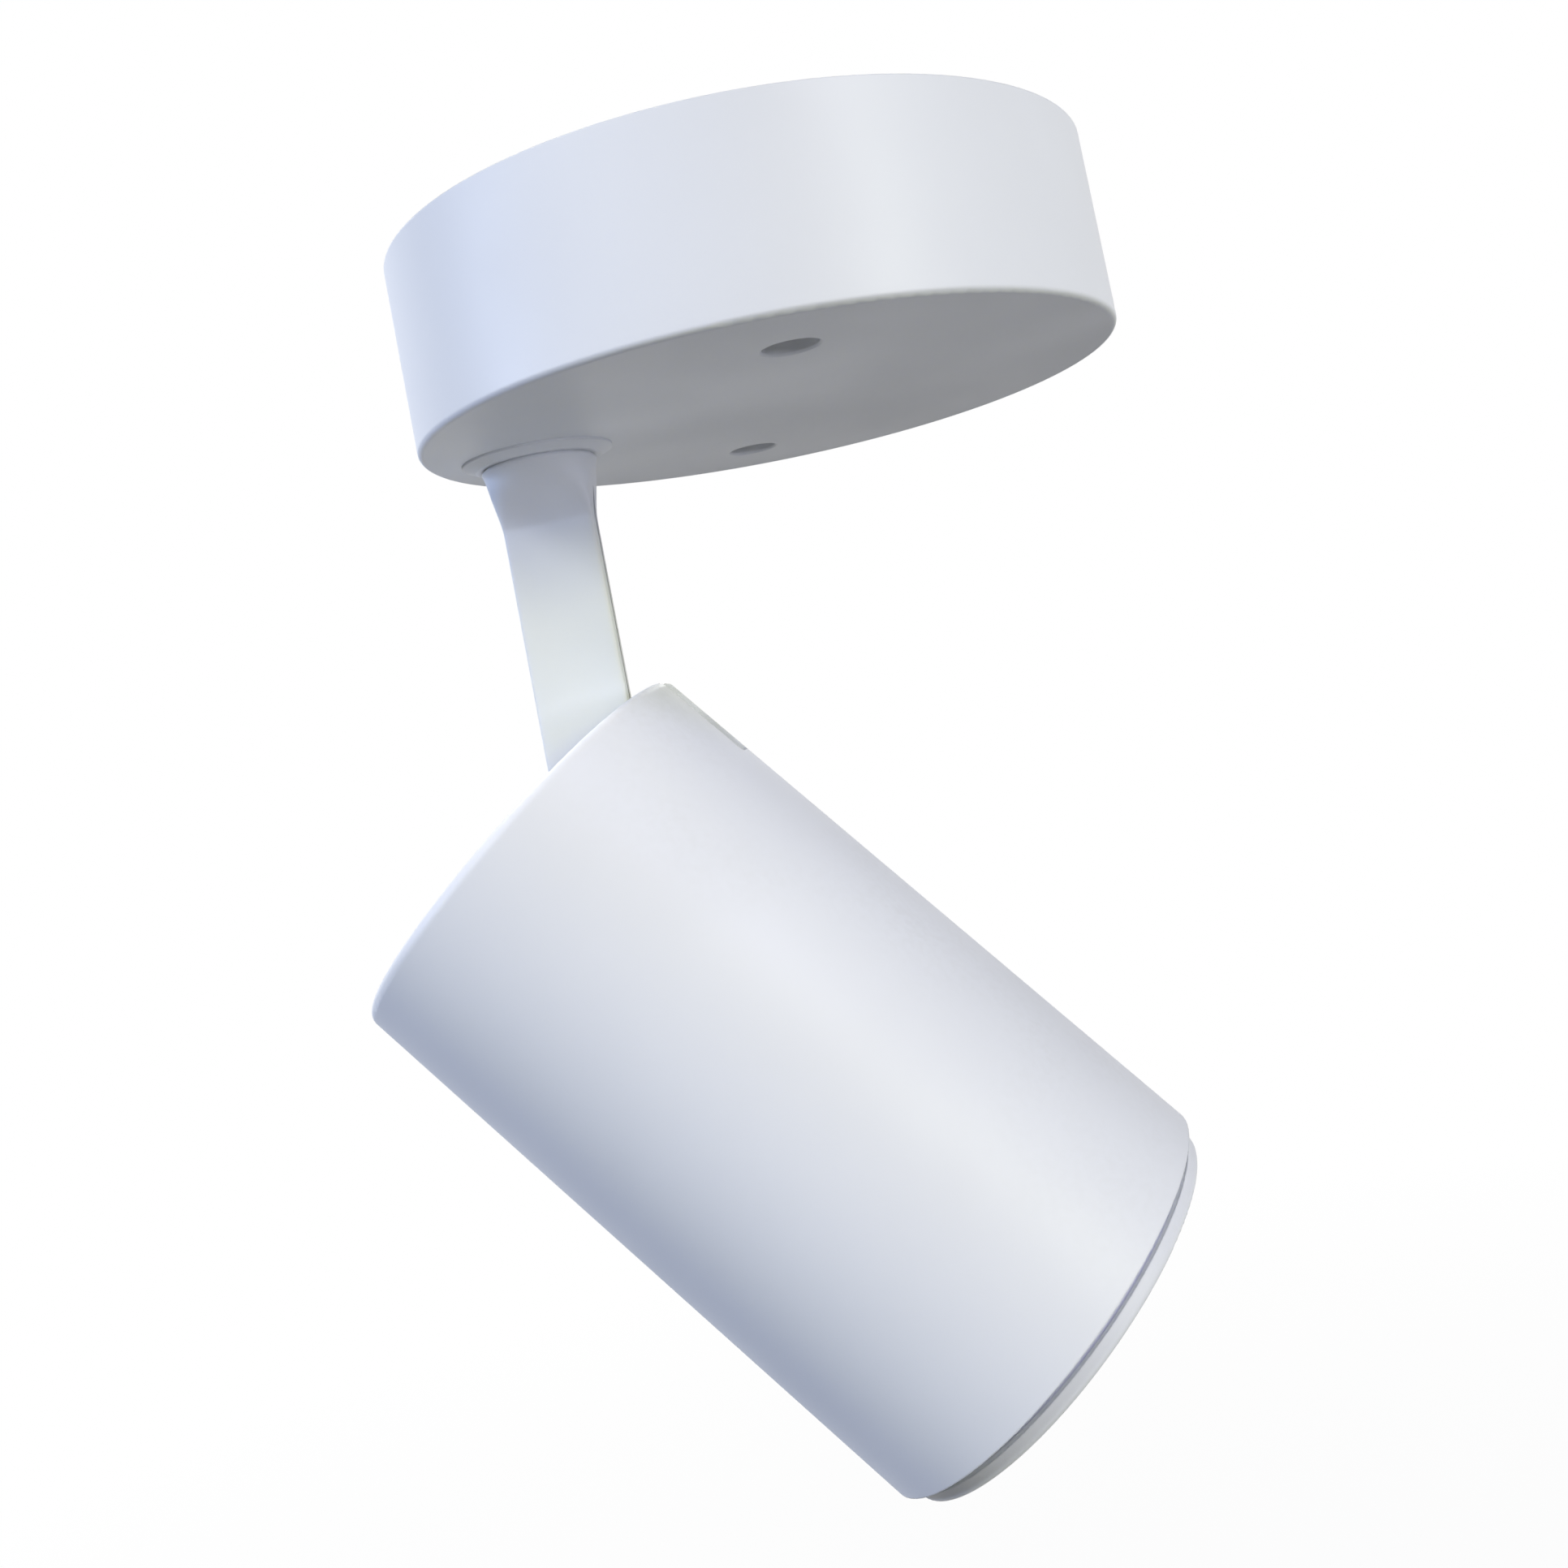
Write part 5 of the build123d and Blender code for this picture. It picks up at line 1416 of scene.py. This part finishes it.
# ---------------------------------------------------------------- studio
@dataclass
class Studio:
    """Pale floor, white backdrop, soft lamps and the camera that looks as the photograph does."""

    picture: float = 1932.0                 # side of the photograph, in pixels
    focal: float = 1959.9                   # focal length, in the photograph's pixels
    centre: tuple[float, float] = (-3.4, -192.0)   # optical centre from the picture's middle, x right, y down
    target: Vector = Vector((-4.526, 0, -58.128)) * MM
    distance: float = 227.27 * MM
    azimuth: float = 0.0961
    elevation: float = -0.0584
    roll: float = -0.1943
    sensor: float = 36.0
    lamp_aim: Vector = Vector((0, 0, -0.06))
    lamp_distance: float = 1.9
    lamp_size: float = 0.4
    floor_drop: float = 0.4
    floor_size: float = 7.0
    floor_bounce: float = 0.16
    floor_shadow: float = 0.1
    shadow_fade: tuple[float, float] = (0.25, 0.8)   # distances over which the floor's shadow fades out

    def camera(self) -> None:
        """Places the camera at the photograph's viewing point and makes it the scene's own."""
        turn, lift = self.azimuth, self.elevation
        back = Vector((math.sin(turn) * math.cos(lift), -math.cos(turn) * math.cos(lift), math.sin(lift)))
        right = (-back).cross(Vector((0, 0, 1))).normalized()
        up = right.cross(-back)
        across = right * math.cos(self.roll) + up * math.sin(self.roll)
        upward = up * math.cos(self.roll) - right * math.sin(self.roll)
        data = bpy.data.cameras.new("camera")
        data.sensor_width = self.sensor
        data.lens = self.sensor * self.focal / self.picture
        data.shift_x = -self.centre[0] / self.picture
        data.shift_y = self.centre[1] / self.picture
        data.clip_start = 0.01
        camera = bpy.data.objects.new("camera", data)
        turned = Matrix((across, upward, back)).transposed()
        camera.matrix_world = Matrix.Translation(self.target + back * self.distance) @ turned.to_4x4()
        bpy.context.scene.collection.objects.link(camera)
        bpy.context.scene.camera = camera

    def lamp(self, name: str, turn: float, lift: float, power: float, colour: Colour) -> None:
        """Adds a square soft light that faces the object.

        Args:
            name: The lamp's name.
            turn: Its direction from the object, in degrees to the right of straight in front.
            lift: Its height above the object, in degrees.
            power: Its strength in watts.
            colour: Its colour.
        """
        data = bpy.data.lights.new(name, "AREA")
        data.shape = "SQUARE"
        data.size = self.lamp_size
        data.energy = power
        data.color = colour
        lamp = bpy.data.objects.new(name, data)
        around, above = math.radians(turn), math.radians(lift)
        away = Vector((math.sin(around) * math.cos(above), -math.cos(around) * math.cos(above), math.sin(above)))
        lamp.location = self.lamp_aim + away * self.lamp_distance
        lamp.rotation_euler = away.to_track_quat("Z", "Y").to_euler()
        bpy.context.scene.collection.objects.link(lamp)

    def lights(self) -> None:
        """Lights the object from both sides of the front, cooler on the left, and faintly from behind."""
        self.lamp("right_low", 45, 0, 9.2, (0.81, 0.84, 1.0))
        self.lamp("right_middle", 45, 15, 13.9, (0.99, 1.0, 0.62))
        self.lamp("right_high", 45, 35, 10.7, (0.51, 0.5, 1.0))
        self.lamp("left_front", -45, 35, 10.0, (0.9, 0.92, 1.0))
        self.lamp("left_side", -75, 15, 18.2, (0.51, 0.65, 1.0))
        self.lamp("left_top", -75, 60, 8.5, (1.0, 0.87, 0.42))
        self.lamp("left_back", -135, 40, 9.0, (1.0, 1.0, 1.0))
        self.lamp("back", 180, 20, 4.5, (1.0, 1.0, 1.0))

    def world(self) -> None:
        """Gives a plain sky that shows as white behind the object."""
        world = bpy.data.worlds.new("studio")
        bpy.context.scene.world = world
        world.use_nodes = True
        world.node_tree.nodes.clear()
        graph = ShaderGraph(world.node_tree)
        path = graph.add("ShaderNodeLightPath").outputs
        seen = graph.math("MAXIMUM", path["Is Camera Ray"], path["Is Glossy Ray"])
        seen = graph.math("MAXIMUM", seen, path["Is Transmission Ray"])
        plain = graph.add("ShaderNodeBackground", Color=(0.92, 0.96, 1.0), Strength=0.03)
        white = graph.add("ShaderNodeBackground", Color=(1, 1, 1), Strength=1.0)
        both = graph.add("ShaderNodeMixShader", Fac=seen)
        graph.feed(both.inputs[1], plain.outputs[0])
        graph.feed(both.inputs[2], white.outputs[0])
        graph.add("ShaderNodeOutputWorld", Surface=both.outputs[0])

    def floor(self) -> None:
        """Lays the floor, which keeps the object's shadow but shows as pale as the backdrop."""
        half = self.floor_size / 2
        mesh = bpy.data.meshes.new("floor")
        corners = [(x, y, -self.floor_drop) for x, y in ((-half, -half), (half, -half), (half, half), (-half, half))]
        mesh.from_pydata(corners, [], [(0, 1, 2, 3)])
        floor = bpy.data.objects.new("floor", mesh)
        bpy.context.scene.collection.objects.link(floor)
        material = bpy.data.materials.new("pale_floor")
        material.use_nodes = True
        material.node_tree.nodes.clear()
        graph = ShaderGraph(material.node_tree)
        path = graph.add("ShaderNodeLightPath").outputs
        seen = graph.math("MAXIMUM", path["Is Camera Ray"], path["Is Glossy Ray"])
        seen = graph.math("MAXIMUM", seen, path["Is Transmission Ray"])
        matt = graph.add("ShaderNodeBsdfDiffuse", Color=(self.floor_bounce,) * 3)
        pale = graph.add("ShaderNodeBsdfDiffuse", Color=(0.85, 0.85, 0.85))
        glow = graph.add("ShaderNodeEmission", Color=(1, 1, 1), Strength=1.0)
        place = graph.add("ShaderNodeTexCoord").outputs["Object"]
        level = graph.add("ShaderNodeVectorMath", {"operation": "MULTIPLY"})
        graph.feed(level.inputs[0], place)
        level.inputs[1].default_value = (1, 1, 0)
        away = graph.add("ShaderNodeVectorMath", {"operation": "LENGTH"}, Vector=level.outputs[0]).outputs["Value"]
        shown = graph.add("ShaderNodeMixShader", Fac=graph.ramp(away, *self.shadow_fade, self.floor_shadow, 0.0))
        graph.feed(shown.inputs[1], glow.outputs[0])
        graph.feed(shown.inputs[2], pale.outputs[0])
        both = graph.add("ShaderNodeMixShader", Fac=seen)
        graph.feed(both.inputs[1], matt.outputs[0])
        graph.feed(both.inputs[2], shown.outputs[0])
        graph.add("ShaderNodeOutputMaterial", Surface=both.outputs[0])
        mesh.materials.append(material)

    def build(self) -> None:
        """Sets the whole studio up."""
        bpy.context.scene.view_settings.view_transform = "Standard"
        self.world()
        self.floor()
        self.lights()
        self.camera()



SCREWS = (
    ScrewSet(
        "canopy_fixings", "canopy_screws", "base", "bright_screw", DOWN, 2.6 * MM, 4.0 * MM, 0.7 * MM,
        drive_l=3.6 * MM, drive_w=0.9 * MM, drive_depth=1.6 * MM,
    ),
    ScrewSet(
        "terminal_fixings", "terminal_screws", "base", "bright_screw", DOWN, 0.0, 2.8 * MM, 0.5 * MM,
        drive=Drive.SLOT, drive_l=2.1 * MM, drive_w=0.6 * MM, drive_depth=0.8 * MM, drive_taper=0.9,
        headless=True, segments=20, seed=5,
    ),
    ScrewSet(
        "earth_fixing", "earth_screw", "base", "brass_part", DOWN, 2.6 * MM, 4.0 * MM, 0.7 * MM,
        drive=Drive.SLOT, drive_l=6.2 * MM, drive_w=1.2 * MM, drive_depth=1.4 * MM, drive_taper=0.95, seed=6,
    ),
    ScrewSet(
        "pivot_fixing", "pivot_screw", "head", "bright_screw", ASIDE, 2.4 * MM, 4.0 * MM, 0.7 * MM,
        drive=Drive.HEXAGON, drive_l=2.89 * MM, drive_depth=1.4 * MM, drive_taper=1.0, seed=8,
    ),
    ScrewSet(
        "bracket_fixings", "bracket_screws", "head", "bright_screw", BACKWARD, 2.0 * MM, 3.0 * MM, 0.5 * MM, seed=7
    ),
    ScrewSet("board_fixings", "board_screws", "head", "bright_screw", HEAD, 2.0 * MM, 3.0 * MM, 0.5 * MM, seed=9),
)


def dress_frame(frame: dict) -> None:
    """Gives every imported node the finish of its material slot.
    """
    for part in frame["record"]["subparts"]:
        node = frame["nodes"][part["node"]]
        material = FINISHES[part["material_slot"]].material()
        for place in node.material_slots:
            place.material = material
        LOG.info("%s: %s", node.name, material.name)


def main() -> None:
    """Builds the object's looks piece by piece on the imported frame."""
    logging.basicConfig(level=logging.INFO, format="%(name)s: %(message)s")
    for leftover in list(bpy.data.objects):
        bpy.data.objects.remove(leftover)
    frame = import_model()
    make_shared_groups()
    Studio().build()
    dress_frame(frame)
    for screws in SCREWS:
        screws.build(frame)
    SwivelArm().build(frame)
    Reflector().build(frame)
    LightSource().build(frame)
    Transformer().build(frame)
    Capacitors().build(frame)
    BoardChips().build(frame)


if __name__ == "__main__":
    main()
